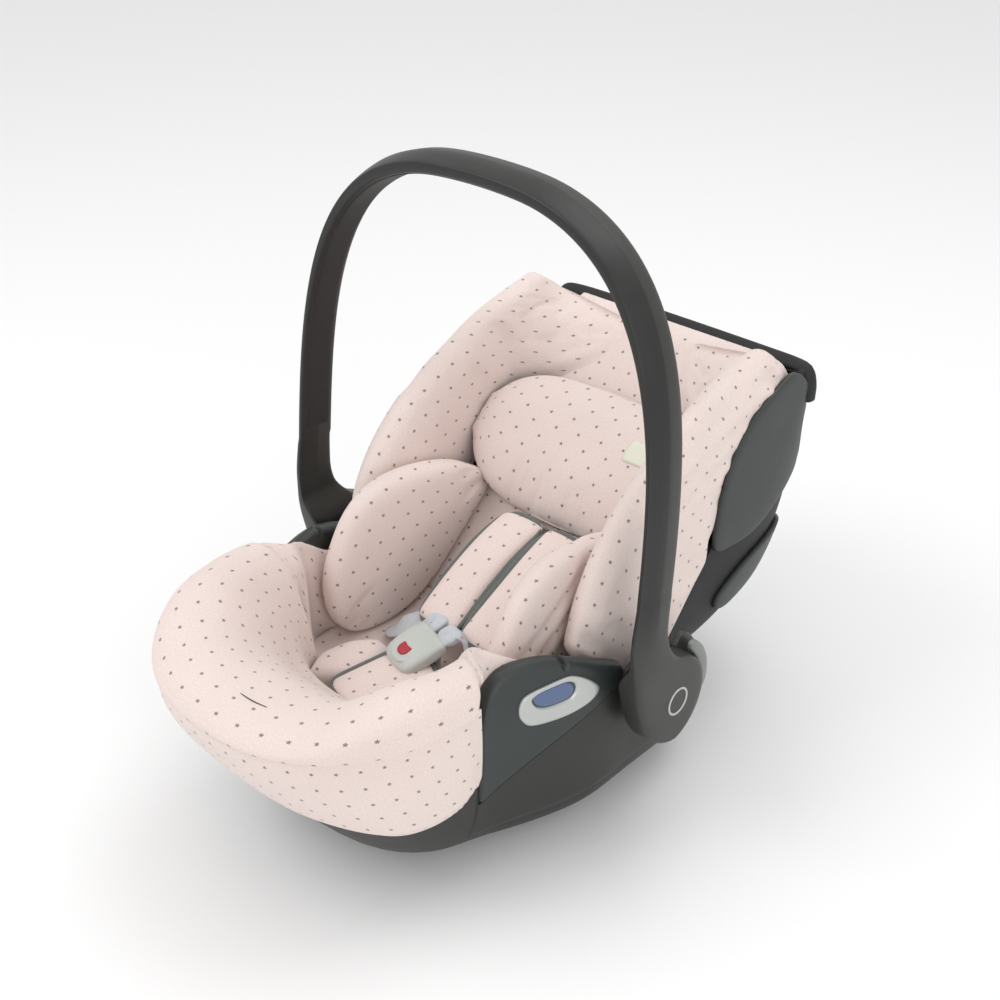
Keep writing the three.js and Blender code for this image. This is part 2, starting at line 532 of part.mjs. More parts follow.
function backHull(grow, top) {
  const [from, to] = [BACK_START - grow, BACK.length + grow];
  return loft(range(19).map((i) => backSection(lerp(from, to, i / 18), grow, top)));
}
const BACK_RIM = -1;
const aboveRim = block([-AROUND, -AROUND, BACK_RIM], [AROUND, AROUND, ABOVE]);
// Lugs on the back shell's sides carry it on two pins in the base.
const pivot = new THREE.Vector3(0, HUB.y - BACK.y, HUB.z - BACK.z)
  .applyAxisAngle(vec(1, 0, 0), -rad(BACK.angle));
const LUG = { thick: 5, radius: 15, foot: -30 };
const lug = plate([
  [pivot.y + LUG.radius + 22, LUG.foot], ...range(13).map((i) => {
    const a = rad(lerp(0, 180, i / 12));
    return [pivot.y + LUG.radius * Math.cos(a), pivot.z + LUG.radius * Math.sin(a)];
  }), [pivot.y - LUG.radius + 2, pivot.z - 14], [BACK_START + 2, LUG.foot],
], BACK.half - LUG.thick, BACK.half);
const backSkin = cut(backHull(0, 60), backHull(-WALL, ABOVE), aboveRim);
const pinHole = (grow) => disc(RECLINE_PIN + grow, -AROUND, AROUND, 0, 0, 20)
  .translate(0, pivot.y, pivot.z);
const padGate = block([-PAD_HALF - 3, BACK_START - 20, -PAD], [PAD_HALF + 3, BACK_START + 20, 60]);
add("back_shell", cut(join(backSkin, lug, mirrored(lug)), pinHole(FIT / 2), padGate), "black", back);

const PANEL = 5;
function backPanel(outline, thick = PANEL) {
  const skin = cut(backHull(thick, 90), backHull(FIT, ABOVE));
  return common(skin, plate(outline, 112, AROUND));
}
addPair("side_panel_upper", backPanel(rounded([
  [BACK.length - 12, 16], [BACK.length - 9, -12], [BACK.length - 19, -50], [BACK.length - 42, -70],
  [BACK.length - 66, -80], [224, -62], [184, -26], [176, -8], [190, 8], [216, 28], [247, 43],
  [290, 46], [332, 30],
], true, 40)), "trim", back);
addPair("side_panel_lower", backPanel(rounded([
  [258, -140], [250, -116], [235, -106], [188, -76], [148, -62], [137, -72], [150, -96], [196, -128],
  [238, -146],
], true, 30)), "trim", back);

// Taut black trim along the top edge of the backrest.
const RIM_BAR = { across: 15, thick: 11 };
add("rim_trim", loft(range(13).map((i) => {
  const t = lerp(-1, 1, i / 12);
  const fall = 20 * Math.abs(t) ** 8;
  const place = vec(t * (BACK.half * backTaper(BACK.length) - 2), BACK.length + FIT + RIM_BAR.across / 2, -2 - fall * 0.2);
  return pillow(place, vec(0, 1, 0), vec(0, 0, 1), RIM_BAR.across, RIM_BAR.thick, 3, 12);
})), "black", back);

// Foam behind the backrest pad.
const FOAM_FACE = -PAD - 10;
const FOAM_HALF = 118;
add("back_foam", loft([100, 140, 200, 270, BACK.length - 52].map((s) => pillow(
  vec(0, s, FOAM_FACE - 11), vec(1, 0, 0), vec(0, 0, 1),
  2 * FOAM_HALF, 20, 6, 12))), "foam", back);

// Headed pins through the lugs, standing on the hub bosses.
addPair("recline_pin", join(
  disc(RECLINE_PIN, BACK.half - LUG.thick, BACK.half + 4, 0, 0, 20),
  disc(RECLINE_PIN + 5, BACK.half + FIT, BOSS.inner - FIT, 0, 0, 20),
).translate(0, HUB.y, HUB.z), "steel");

// ---- backrest pads ----------------------------------------------------------------------------------
const PAD_FACE = 8;
const SLOT = { half: 16, from: 186, to: 186 + 38 + HEADREST_TRAVEL };
const padBody = loft([14, 22, 60, 130, 200, 270, 330, 346].map((s, i, all) => pillow(
  vec(0, s, PAD_FACE - PAD / 2), vec(1, 0, 0), vec(0, 0, 1), 2 * PAD_HALF,
  i === 0 || i === all.length - 1 ? PAD * 0.75 : PAD, 5, 16)));
add("back_pad", cut(padBody, block([-SLOT.half, SLOT.from, -80], [SLOT.half, SLOT.to, 80])), "pink", back);

// Tall side wings of the cover.
const WING = { inner: 118, outer: BACK.half - 7, base: 0 };
const wingCrest = profile([[6, 78], [36, 97], [71, 116], [110, 127], [150, 129], [191, 125],
  [236, 112], [275, 92], [311, 66], [340, 42], [354, 30]]);
addPair("back_wing", loft(range(15).map((i) => {
  const s = lerp(22, BACK.length - 8, i / 14);
  const mid = (WING.inner + WING.outer) / 2 + BACK.half * (backTaper(s) - 1);
  const width = WING.outer - WING.inner;
  const height = wingCrest(s) - WING.base;
  return pillow(vec(mid, s, WING.base + height / 2), vec(1, 0, 0), vec(0, 0, 1), width, height, 4, 14);
})), "pink", back);

// Plate that carries the head pillow up and down the backrest; its stem runs in a slot.
const HEAD_PLATE = { z: PAD_FACE + 1.5, thick: 3, half: WING.inner - 12, from: 150, to: 256 };
const headPlate = join(
  block([-HEAD_PLATE.half, HEAD_PLATE.from, HEAD_PLATE.z],
    [HEAD_PLATE.half, HEAD_PLATE.to, HEAD_PLATE.z + HEAD_PLATE.thick]),
  block([-SLOT.half + 1, SLOT.from + 4, PAD_FACE - PAD - 7],
    [SLOT.half - 1, SLOT.from + 34, HEAD_PLATE.z + 1]),
  block([-SLOT.half - 18, SLOT.from + 4, PAD_FACE - PAD - 8],
    [SLOT.half + 18, SLOT.from + 34, PAD_FACE - PAD - 1]));
add("headrest_plate", headPlate, "black", back);

// Wide head pillow of the insert, on the headrest; its ends curl up against the wings.
const PILLOW = { s: 196, half: 108, rise: 62, thick: 30, curl: 34 };
add("head_pillow", loft(range(13).map((i) => {
  const x = lerp(-PILLOW.half, PILLOW.half, i / 12);
  const out = Math.abs(x) / PILLOW.half;
  const swell = (1 - out ** 3.2) ** 0.5;
  const thick = PILLOW.thick * Math.max(swell, 0.45);
  const low = HEAD_PLATE.z + HEAD_PLATE.thick + FIT + PILLOW.curl * out ** 3;
  return pillow(vec(x, PILLOW.s, low + thick / 2), vec(0, 1, 0), vec(0, 0, 1),
    2 * PILLOW.rise * Math.max(swell, 0.4), thick, 2.5, 16);
})), "pink", back);

// Body lobes of the insert beside the child's hips and ribs, down to the seat pad.
const LOBE = { x: 96, width: 40 };
const lobeRings = [[-44, 72, 86], [-36, 60, 108], [-15, 38, 130], [10, 20, 143], [43, 10, 149],
  [75, 10, 133], [100, 10, 106], [122, 10, 78], [138, 10, 40]];
addPair("body_lobe", loft(lobeRings.map(([s, low, high], i, all) => pillow(
  vec(LOBE.x, s, (low + high) / 2), vec(1, 0, 0), vec(0, 0, 1),
  LOBE.width * (i === 0 || i === all.length - 1 ? 0.5 : 1), high - low, 3, 14))), "pink", back);

// ---- shoulder harness -------------------------------------------------------------------------------
// The harness lies slack, drawn a little towards the child's left.
const SLACK = 18;
const PADS = { width: 48, thick: 11 };
const strapUnder = PADS.thick / 2 + 1 + FIT;
for (const [side, sign] of [["left", 1], ["right", -1]]) {
  const at = (x, s, z) => vec(SLACK + sign * x, s, z);
  const padPath = [at(26, 114, 38), at(26, 80, 53), at(25.5, 38, 66), at(25, -6, 76)];
  add(`shoulder_pad_${side}`, strap(padPath, vec(1, 0, 0), PADS.width, PADS.thick, 7, 12),
    "pink", back);
  add(`shoulder_strap_${side}`, strap([at(26, 130, 10), at(26, 125, 20),
    ...padPath.map((p) => p.clone().add(vec(0, -3, -strapUnder))), at(23, -16, 76 - strapUnder)],
  vec(1, 0, 0), 24, 2, 12, 8), "webbing", back);
}

// Bring the middle of the finished length to the origin.
carrier.position.y = -new THREE.Box3().setFromObject(carrier, true).getCenter(vec(0, 0, 0)).y;

export default root;
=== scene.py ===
"""An infant car seat: rocker base shell, reclining back shell, dotted jersey cover with its
infant insert, harness, and a carry handle that swings on two hubs."""
import math
import bmesh
import bpy
from mathutils import Matrix, Vector, noise
from mathutils.bvhtree import BVHTree


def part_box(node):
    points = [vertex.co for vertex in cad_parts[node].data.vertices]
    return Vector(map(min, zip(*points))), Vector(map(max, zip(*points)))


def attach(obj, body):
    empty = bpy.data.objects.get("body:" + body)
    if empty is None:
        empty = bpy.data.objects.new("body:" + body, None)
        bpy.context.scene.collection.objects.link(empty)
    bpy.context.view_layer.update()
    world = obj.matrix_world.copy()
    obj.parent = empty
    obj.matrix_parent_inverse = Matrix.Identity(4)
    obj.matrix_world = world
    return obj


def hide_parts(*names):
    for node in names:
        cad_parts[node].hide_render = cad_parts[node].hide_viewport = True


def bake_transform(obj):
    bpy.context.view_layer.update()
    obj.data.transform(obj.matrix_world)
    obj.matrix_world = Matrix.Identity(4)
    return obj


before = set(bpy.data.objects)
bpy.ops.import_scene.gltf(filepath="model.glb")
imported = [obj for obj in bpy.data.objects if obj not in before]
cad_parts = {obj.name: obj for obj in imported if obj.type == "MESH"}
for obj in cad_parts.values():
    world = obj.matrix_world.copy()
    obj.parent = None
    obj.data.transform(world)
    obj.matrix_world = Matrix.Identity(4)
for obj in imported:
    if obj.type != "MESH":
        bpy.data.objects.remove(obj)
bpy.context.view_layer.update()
scene = bpy.context.scene

# ---- measures, in millimetres along the CAD's own lines --------------------------------------
MM = 0.001
CLOTH_STIFFNESS, CLOTH_BENDING = 15.0, 0.6
cap_low, cap_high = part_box("hub_cap_left")
HUB = {"y": 43, "z": 141, "radius": 41, "inner": 184.6, "outer": 210.6}
FORE = (cap_low.y + cap_high.y) / 2 - HUB["y"] * MM   # from the CAD's drawing line to its middle
RECLINE = math.radians(42.7)
BACK_Y, BACK_Z = 30, 100
FOOT_REACH, TAIL_REACH, TOE_Y, TRIM_Y, TRIM_END = 288, 185, -137, -128, 14
FOOT_HALF, SIDE_HALF, RIM_Z, COVER = 140, 174, 195, 6
HALF, RISE_FROM, RISE, LEAN, WIDTH = 205, 176, 386, math.radians(5), 38   # the handle's arch
BACK_LENGTH, BACK_HALF = 362, 153


def lerp(a, b, t):
    return a + (b - a) * t


def clamp(v, low=0.0, high=1.0):
    return max(low, min(high, v))


def smooth(a, b, v):
    t = clamp((v - a) / (b - a))
    return t * t * (3 - 2 * t)


def power(v, e):
    return math.copysign(abs(v) ** e, v)


def at(x, y, z):
    """A point of the CAD's drawing, in metres in the row's frame."""
    return Vector((x * MM, y * MM + FORE, z * MM))


def on_back(x, s, n):
    """A point of the backrest: s up the back from the seat crease, n towards the child."""
    c, k = math.cos(RECLINE), math.sin(RECLINE)
    return at(x, BACK_Y + s * c - n * k, BACK_Z + s * k + n * c)


def profile(points):
    """Height along a smooth line through [along, height] points."""
    def height(u):
        if u <= points[0][0]:
            return points[0][1]
        if u >= points[-1][0]:
            return points[-1][1]
        i = next(k for k in range(1, len(points)) if points[k][0] >= u)
        (x0, y0), (x1, y1) = points[i - 1], points[i]
        a = points[max(i - 2, 0)]
        b = points[min(i + 1, len(points) - 1)]
        m0 = (y1 - a[1]) / (x1 - a[0])
        m1 = (b[1] - y0) / (b[0] - x0)
        w = x1 - x0
        t = (u - x0) / w
        return ((2 * t ** 3 - 3 * t * t + 1) * y0 + (t ** 3 - 2 * t * t + t) * m0 * w
                + (3 * t * t - 2 * t ** 3) * y1 + (t ** 3 - t * t) * m1 * w)
    return height


def steps_between(points):
    """Height along straight runs between [along, height] points."""
    def height(u):
        if u <= points[0][0]:
            return points[0][1]
        for (x0, y0), (x1, y1) in zip(points, points[1:]):
            if u <= x1:
                return lerp(y0, y1, (u - x0) / (x1 - x0))
        return points[-1][1]
    return height


def through(points, count, closed=False):
    """`count` evenly spaced places on a smooth line through the points."""
    points = [Vector(p) for p in points]
    n = len(points)
    fine = []
    spans = n if closed else n - 1
    for i in range(spans):
        def pick(k):
            return points[k % n] if closed else points[max(0, min(n - 1, k))]
        a, b, c, d = pick(i - 1), pick(i), pick(i + 1), pick(i + 2)
        for j in range(12):
            t = j / 12
            fine.append(0.5 * (2 * b + (c - a) * t + (2 * a - 5 * b + 4 * c - d) * t * t
                               + (3 * b - 3 * c + d - a) * t ** 3))
    fine.append(fine[0].copy() if closed else points[-1].copy())
    reach = [0.0]
    for p, q in zip(fine, fine[1:]):
        reach.append(reach[-1] + (q - p).length)
    out, k = [], 0
    for i in range(count):
        want = reach[-1] * i / (count if closed else count - 1)
        while k < len(reach) - 2 and reach[k + 1] < want:
            k += 1
        span = reach[k + 1] - reach[k]
        out.append(fine[k].lerp(fine[k + 1], (want - reach[k]) / span if span else 0))
    return out


# ---- making pieces ---------------------------------------------------------------------------
def keep(mesh, name):
    """The bmesh as a smooth-shaded object at the origin."""
    data = bpy.data.meshes.new(name)
    mesh.to_mesh(data)
    mesh.free()
    data.shade_smooth()
    piece = bpy.data.objects.new(name, data)
    scene.collection.objects.link(piece)
    return piece


def patch(name, across, along, form, origin=(0.0, 0.0), turn=0.0, hole=None, sheet=False):
    """A grid bent to form(u, v), closed where its edges meet and over its open ends unless it
    is a sheet, facing outwards. Its UV map is the cloth's own measure in metres, counted from
    `origin` and turned by `turn` degrees."""
    mesh = bmesh.new()
    bmesh.ops.create_grid(mesh, x_segments=across, y_segments=along, size=1)
    place = {}
    for v in mesh.verts:
        place[v] = (round((v.co.x + 1) / 2 * across), round((v.co.y + 1) / 2 * along))
    spots = {}
    for v, (i, j) in place.items():
        spots[i, j] = form(i / across, j / along)
        v.co = spots[i, j]
    wide, long = {}, {}
    for j in range(along + 1):
        run = 0.0
        wide[0, j] = 0.0
        for i in range(1, across + 1):
            run += (spots[i, j] - spots[i - 1, j]).length
            wide[i, j] = run
        start = wide[round(origin[0] * across), j]
        for i in range(across + 1):
            wide[i, j] -= start
    run = 0.0
    long[0] = 0.0
    for j in range(1, along + 1):
        gaps = sorted((spots[i, j] - spots[i, j - 1]).length for i in range(0, across + 1))
        run += gaps[len(gaps) * 3 // 5]
        long[j] = run
    start = long[round(origin[1] * along)]
    c, k = math.cos(math.radians(turn)), math.sin(math.radians(turn))
    uv = mesh.loops.layers.uv.new("cloth")
    for face in mesh.faces:
        for loop in face.loops:
            i, j = place[loop.vert]
            a, b = wide[i, j], long[j] - start
            loop[uv].uv = (a * c - b * k, a * k + b * c)
    if hole:
        gone = [f for f in mesh.faces if all(hole(*place[v], across, along) for v in f.verts)]
        bmesh.ops.delete(mesh, geom=gone, context="FACES")
    bmesh.ops.remove_doubles(mesh, verts=mesh.verts, dist=2e-6)
    if hole:
        bmesh.ops.bridge_loops(mesh, edges=[e for e in mesh.edges if e.is_boundary])
    if not sheet:
        bmesh.ops.holes_fill(mesh, edges=[e for e in mesh.edges if e.is_boundary], sides=0)
    bmesh.ops.recalc_face_normals(mesh, faces=mesh.faces)
    if not sheet and mesh.calc_volume(signed=True) < 0:
        bmesh.ops.reverse_faces(mesh, faces=mesh.faces)
    return keep(mesh, name)


def case(name, across, along, middle, depth, turn=0.0, origin=(0.25, 0.5), hole=None):
    """A front and a back sewn together round their edge: middle(u, v) is the seam's own sheet
    with its facing, depth(u, v) how far front and back stand off it, in metres."""
    def form(u, v):
        front = u <= 0.5
        a = 2 * u if front else 2 - 2 * u
        place, facing = middle(a, v)
        off = depth(a, v)
        off = off if isinstance(off, tuple) else (off, off)
        return place + facing * (off[0] if front else -off[1])
    return patch(name, 2 * across, along, form, origin, turn, hole=hole)


def stuffed(u, v, across, along):
    """How full a case is at (u, v): 1 over its middle, falling to 0 round its edge."""
    a, b = abs(2 * u - 1), abs(2 * v - 1)
    return ((1 - a ** across) * (1 - b ** along)) ** 0.5 if a < 1 and b < 1 else 0


def sweep(name, line, section, closed=False, around=10):
    """A tube along a line of (place, side, up): section(a, t) is its outline in side and up.
    An open one has its ends drawn to a point."""
    along = len(line) if closed else len(line) - 1

    def form(u, v):
        i = round(v * along)
        place, side, up = line[i % len(line)]
        shrink = 0.0 if not closed and i in (0, along) else 1.0
        p, q = section(2 * math.pi * u, v)
        return place + (side * p + up * q) * shrink
    if not closed:
        first, last = line[0], line[-1]
        line[:0] = [first]
        line.append(last)
        along = len(line) - 1
    return patch(name, around, along, form)


def railed(points, up, closed=False):
    """Places with a side and an up direction along a line, up staying near `up`."""
    n = len(points)
    line = []
    for i, p in enumerate(points):
        q = points[(i + 1) % n] if closed or i < n - 1 else p
        o = points[i - 1] if closed or i else p
        ahead = (q - o).normalized()
        lift = up(i) if callable(up) else Vector(up)
        side = ahead.cross(lift).normalized()
        line.append((p, side, side.cross(ahead).normalized()))
    return line


def ribbon(width, thick):
    """The outline of flat webbing, its edges a little round."""
    return lambda a, t: (width / 2 * power(math.cos(a), 0.25), thick / 2 * power(math.sin(a), 0.7))


def oval(width, thick, e=1.0):
    return lambda a, t: (width / 2 * power(math.cos(a), e), thick / 2 * power(math.sin(a), e))


def facing_of(form, u, v, out):
    """The outward direction of form's sheet at (u, v), on the side that `out` points to."""
    h = 1e-3
    a = form(min(u + h, 1), v) - form(max(u - h, 0), v)
    b = form(u, min(v + h, 1)) - form(u, max(v - h, 0))
    n = a.cross(b)
    if n.length < 1e-12:
        return out.normalized()
    n.normalize()
    return n if n.dot(out) > 0 else -n


def twin(piece, name):
    """The mirror image on the child's right."""
    mesh = bmesh.new()
    mesh.from_mesh(piece.data)
    bmesh.ops.scale(mesh, vec=(-1, 1, 1), verts=mesh.verts)
    bmesh.ops.reverse_faces(mesh, faces=mesh.faces)
    other = keep(mesh, name)
    for m in piece.modifiers:
        made = other.modifiers.new(m.name, m.type)
        for key in ("levels", "render_levels", "thickness", "offset", "width", "segments",
                    "limit_method", "angle_limit"):
            if hasattr(m, key):
                setattr(made, key, getattr(m, key))
    return other


def swell(piece, most, pressure, slack, frames):
    """Fills a sewn case with air as cloth, no point going further than `most` millimetres."""
    start = [v.co.copy() for v in piece.data.vertices]
    cloth = piece.modifiers.new("swell", "CLOTH")
    s = cloth.settings
    s.quality = 6
    s.use_pressure = True
    s.uniform_pressure_force = pressure
    s.effector_weights.gravity = 0
    s.tension_stiffness = s.compression_stiffness = CLOTH_STIFFNESS
    s.bending_stiffness = CLOTH_BENDING
    s.shrink_min = -slack
    cloth.collision_settings.use_collision = False
    cloth.point_cache.frame_start = 1
    cloth.point_cache.frame_end = frames
    for f in range(1, frames + 1):
        scene.frame_set(f)
    graph = bpy.context.evaluated_depsgraph_get()
    moved = [v.co.copy() for v in piece.evaluated_get(graph).data.vertices]
    piece.modifiers.remove(cloth)
    scene.frame_set(1)
    for v, a, b in zip(piece.data.vertices, start, moved):
        d = b - a
        reach = d.length
        if not reach < 0.2:
            continue
        soft = most * MM * math.tanh(reach / (most * MM)) if reach > 1e-9 else 0
        v.co = a + d * (soft / reach if reach > 1e-9 else 0)
    piece.data.update()
    return piece


def rumple(piece, how):
    """Moves each point along its own normal by how(co) metres."""
    mesh = bmesh.new()
    mesh.from_mesh(piece.data)
    mesh.normal_update()
    shifts = [(v, v.normal * how(v.co)) for v in mesh.verts]
    for v, d in shifts:
        v.co += d
    mesh.to_mesh(piece.data)
    mesh.free()
    return piece


def rounded(piece):
    """One rounding subdivision, left live."""
    m = piece.modifiers.new("rounding", "SUBSURF")
    m.levels = m.render_levels = 1
    return piece


def walled(piece, thick):
    """A wall of `thick` millimetres inside the sheet."""
    m = piece.modifiers.new("wall", "SOLIDIFY")
    m.thickness, m.offset = thick * MM, -1
    return piece


def softened(piece, width, segments=3, angle=35):
    """Edges sharper than `angle` degrees eased over `width` millimetres."""
    m = piece.modifiers.new("edges", "BEVEL")
    m.width, m.segments, m.limit_method = width * MM, segments, "ANGLE"
    m.angle_limit = math.radians(angle)
    return piece


def settle(piece, body, slot, finish, *stands_for):
    piece.data.materials.clear()
    piece.data.materials.append(finish)
    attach(piece, body)
    if stands_for:
        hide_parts(*stands_for)
    return piece


def both_sides(piece, body, slot, finish, stands_for=None, other=None):
    """Settles a left piece and its mirror image, made here unless it is already there, each on
    its own side's body and for its own side's CAD node."""
    other = other or twin(piece, piece.name.replace("left", "right"))
    for one, side in ((piece, "left"), (other, "right")):
        nodes = [stands_for + "_" + side] if stands_for else []
        settle(one, body.replace("left", side), slot, finish, *nodes)


def touch(piece, start, aim):
    """Where a line from start towards aim first meets the piece, and the facing there."""
    mesh = bmesh.new()
    mesh.from_mesh(piece.data)
    tree = BVHTree.FromBMesh(mesh)
    mesh.free()
    spot, normal, _, _ = tree.ray_cast(start, aim)
    return spot, normal


# ---- finishes --------------------------------------------------------------------------------
def add(tree, kind, feeds=None, **facts):
    """A node with its facts set and its inputs fed from sockets or fixed at values."""
    made = tree.nodes.new("ShaderNode" + kind)
    for key, value in facts.items():
        setattr(made, key, value)
    for key, value in (feeds or {}).items():
        if isinstance(value, bpy.types.NodeSocket):
            tree.links.new(value, made.inputs[key])
        else:
            made.inputs[key].default_value = value
    return made


def maths(tree, how, a, b=0.0, c=0.0):
    return add(tree, "Math", {0: a, 1: b, 2: c}, operation=how).outputs[0]


def group(name, takes, gives):
    """An empty shared effect with named inputs and outputs."""
    tree = bpy.data.node_groups.new(name, "ShaderNodeTree")
    for key, (kind, value) in takes.items():
        made = tree.interface.new_socket(key, in_out="INPUT", socket_type="NodeSocket" + kind)
        if value is not None:
            made.default_value = value
    for key, kind in gives.items():
        tree.interface.new_socket(key, in_out="OUTPUT", socket_type="NodeSocket" + kind)
    inside = tree.nodes.new("NodeGroupInput")
    outside = tree.nodes.new("NodeGroupOutput")
    return tree, inside.outputs, outside.inputs


def moulded_grain():
    """Fine pebbled grain of moulded plastic, with slow changes of tone."""
    tree, take, give = group("moulded_grain", {
        "Size": ("Float", 900.0), "Unevenness": ("Float", 0.5)},
        {"Height": "Float", "Tone": "Float"})
    place = add(tree, "TexCoord").outputs["Object"]
    pebble = add(tree, "TexVoronoi", {"Vector": place, "Scale": take["Size"]}).outputs["Distance"]
    speck = add(tree, "TexNoise", {"Vector": place, "Scale": take["Size"], "Detail": 2.0})
    height = maths(tree, "MULTIPLY_ADD", pebble, 0.7, speck.outputs[0])
    cloud = add(tree, "TexNoise", {"Vector": place, "Scale": 14.0, "Detail": 4.0,
                                   "Roughness": 0.6}).outputs[0]
    tone = maths(tree, "MULTIPLY_ADD", maths(tree, "SUBTRACT", cloud, 0.5), take["Unevenness"], 0.5)
    tree.links.new(height, give["Height"])
    tree.links.new(tone, give["Tone"])
    return tree


def edge_wear():
    """Mask of rubbed edges: where the surface bends outwards, broken up by scuffs."""
    tree, take, give = group("edge_wear", {"Start": ("Float", 0.53), "Scuffs": ("Float", 90.0)},
                             {"Mask": "Float"})
    bend = add(tree, "NewGeometry").outputs["Pointiness"]
    rubbed = add(tree, "MapRange", {"Value": bend, "From Min": take["Start"],
                                    "From Max": maths(tree, "ADD", take["Start"], 0.06)})
    place = add(tree, "TexCoord").outputs["Object"]
    scuff = add(tree, "TexNoise", {"Vector": place, "Scale": take["Scuffs"], "Detail": 3.0})
    broken = maths(tree, "SMOOTH_MAX", maths(tree, "SUBTRACT", scuff.outputs[0], 0.3), 0.0, 0.1)
    tree.links.new(maths(tree, "MULTIPLY", rubbed.outputs[0], broken), give["Mask"])
    return tree


def settled_dust():
    """Mask of light dust on what faces up."""
    tree, take, give = group("settled_dust", {"Amount": ("Float", 0.15)}, {"Mask": "Float"})
    facing = add(tree, "SeparateXYZ", {0: add(tree, "NewGeometry").outputs["Normal"]}).outputs[2]
    up = add(tree, "MapRange", {"Value": facing, "From Min": 0.2, "From Max": 1.0}).outputs[0]
    place = add(tree, "TexCoord").outputs["Object"]
    patchy = add(tree, "TexNoise", {"Vector": place, "Scale": 60.0, "Detail": 5.0}).outputs[0]
    tree.links.new(maths(tree, "MULTIPLY", maths(tree, "MULTIPLY", up, patchy), take["Amount"]),
                   give["Mask"])
    return tree


def jersey():
    """Fine knit with marled yarn, and a repeat of tiny printed stars, laid by the UV map."""
    tree, take, give = group("jersey", {
        "Repeat": ("Float", 0.0185), "Star": ("Float", 0.095), "Knit": ("Float", 0.0011)},
        {"Stars": "Float", "Height": "Float", "Marl": "Float"})
    place = add(tree, "UVMap", uv_map="cloth").outputs[0]
    cell = add(tree, "VectorMath", {0: place, 3: maths(tree, "DIVIDE", 1.0, take["Repeat"])},
               operation="SCALE").outputs[0]
    within = add(tree, "VectorMath", {0: cell}, operation="FRACTION").outputs[0]
    off = add(tree, "VectorMath", {0: within, 1: (0.5, 0.5, 0.0)}, operation="SUBTRACT").outputs[0]
    xyz = add(tree, "SeparateXYZ", {0: off}).outputs
    far = maths(tree, "SQRT", maths(tree, "MULTIPLY_ADD", xyz[0], xyz[0],
                                    maths(tree, "MULTIPLY", xyz[1], xyz[1])))
    angle = maths(tree, "ARCTAN2", xyz[1], xyz[0])
    points = maths(tree, "COSINE", maths(tree, "MULTIPLY", angle, 5.0))
    rim = maths(tree, "MULTIPLY", take["Star"], maths(tree, "MULTIPLY_ADD", points, 0.24, 0.8))
    star = add(tree, "MapRange", {"Value": maths(tree, "SUBTRACT", far, rim),
                                  "From Min": 0.012, "From Max": -0.016}).outputs[0]
    tree.links.new(star, give["Stars"])
    rows = add(tree, "VectorMath", {0: place, 3: maths(tree, "DIVIDE", 1.0, take["Knit"])},
               operation="SCALE").outputs[0]
    row = add(tree, "SeparateXYZ", {0: rows}).outputs
    loops = maths(tree, "MULTIPLY",
                  maths(tree, "SINE", maths(tree, "MULTIPLY", row[0], 6.2832)),
                  maths(tree, "SINE", maths(tree, "MULTIPLY_ADD", row[1], 6.2832,
                                            maths(tree, "ABSOLUTE", row[0]))))
    fuzz = add(tree, "TexNoise", {"Vector": rows, "Scale": 0.7, "Detail": 3.0}).outputs[0]
    tree.links.new(maths(tree, "MULTIPLY_ADD", loops, 0.4, fuzz), give["Height"])
    flecks = add(tree, "Mapping", {"Vector": place, "Scale": (420.0, 950.0, 1.0)}).outputs[0]
    marl = add(tree, "TexNoise", {"Vector": flecks, "Scale": 1.0, "Detail": 3.0,
                                  "Roughness": 0.65}).outputs[0]
    tree.links.new(marl, give["Marl"])
    return tree


def webbing_weave():
    """Close ribs of harness webbing across the UV map."""
    tree, take, give = group("webbing_weave", {"Rib": ("Float", 0.0017)},
                             {"Height": "Float", "Tone": "Float"})
    place = add(tree, "UVMap", uv_map="cloth").outputs[0]
    run = add(tree, "SeparateXYZ", {0: place}).outputs
    turn = maths(tree, "DIVIDE", 6.2832, take["Rib"])
    ribs = maths(tree, "SINE", maths(tree, "MULTIPLY", run[1], turn))
    warp = maths(tree, "SINE", maths(tree, "MULTIPLY", run[0], maths(tree, "MULTIPLY", turn, 0.8)))
    height = maths(tree, "MULTIPLY_ADD", maths(tree, "MULTIPLY", ribs, warp), 0.5, 0.5)
    tree.links.new(height, give["Height"])
    cloud = add(tree, "TexNoise", {"Vector": place, "Scale": 160.0, "Detail": 2.0}).outputs[0]
    tree.links.new(maths(tree, "MULTIPLY_ADD", height, 0.4, cloud), give["Tone"])
    return tree


GRAIN, WEAR, DUST, JERSEY, WEBBING = (
    moulded_grain(), edge_wear(), settled_dust(), jersey(), webbing_weave())


def shared(tree, effect, **values):
    """One shared effect placed in a finish with its own values."""
    made = tree.nodes.new("ShaderNodeGroup")
    made.node_tree = effect
    for key, value in values.items():
        made.inputs[key].default_value = value
    return made.outputs


def blank(name):
    finish = bpy.data.materials.new(name)
    finish.use_nodes = True
    tree = finish.node_tree
    return finish, tree, tree.nodes["Principled BSDF"].inputs


def blend_of(tree, share, a, b):
    made = add(tree, "Mix", {0: share}, data_type="RGBA")
    for key, value in (("A", a), ("B", b)):
        socket = next(s for s in made.inputs if s.name == key and s.type == "RGBA")
        if isinstance(value, bpy.types.NodeSocket):
            tree.links.new(value, socket)
        else:
            socket.default_value = (*value, 1.0)
    return next(s for s in made.outputs if s.type == "RGBA")


def bumped(tree, height, strength, distance):
    return add(tree, "Bump", {"Height": height, "Strength": strength,
                              "Distance": distance}).outputs[0]


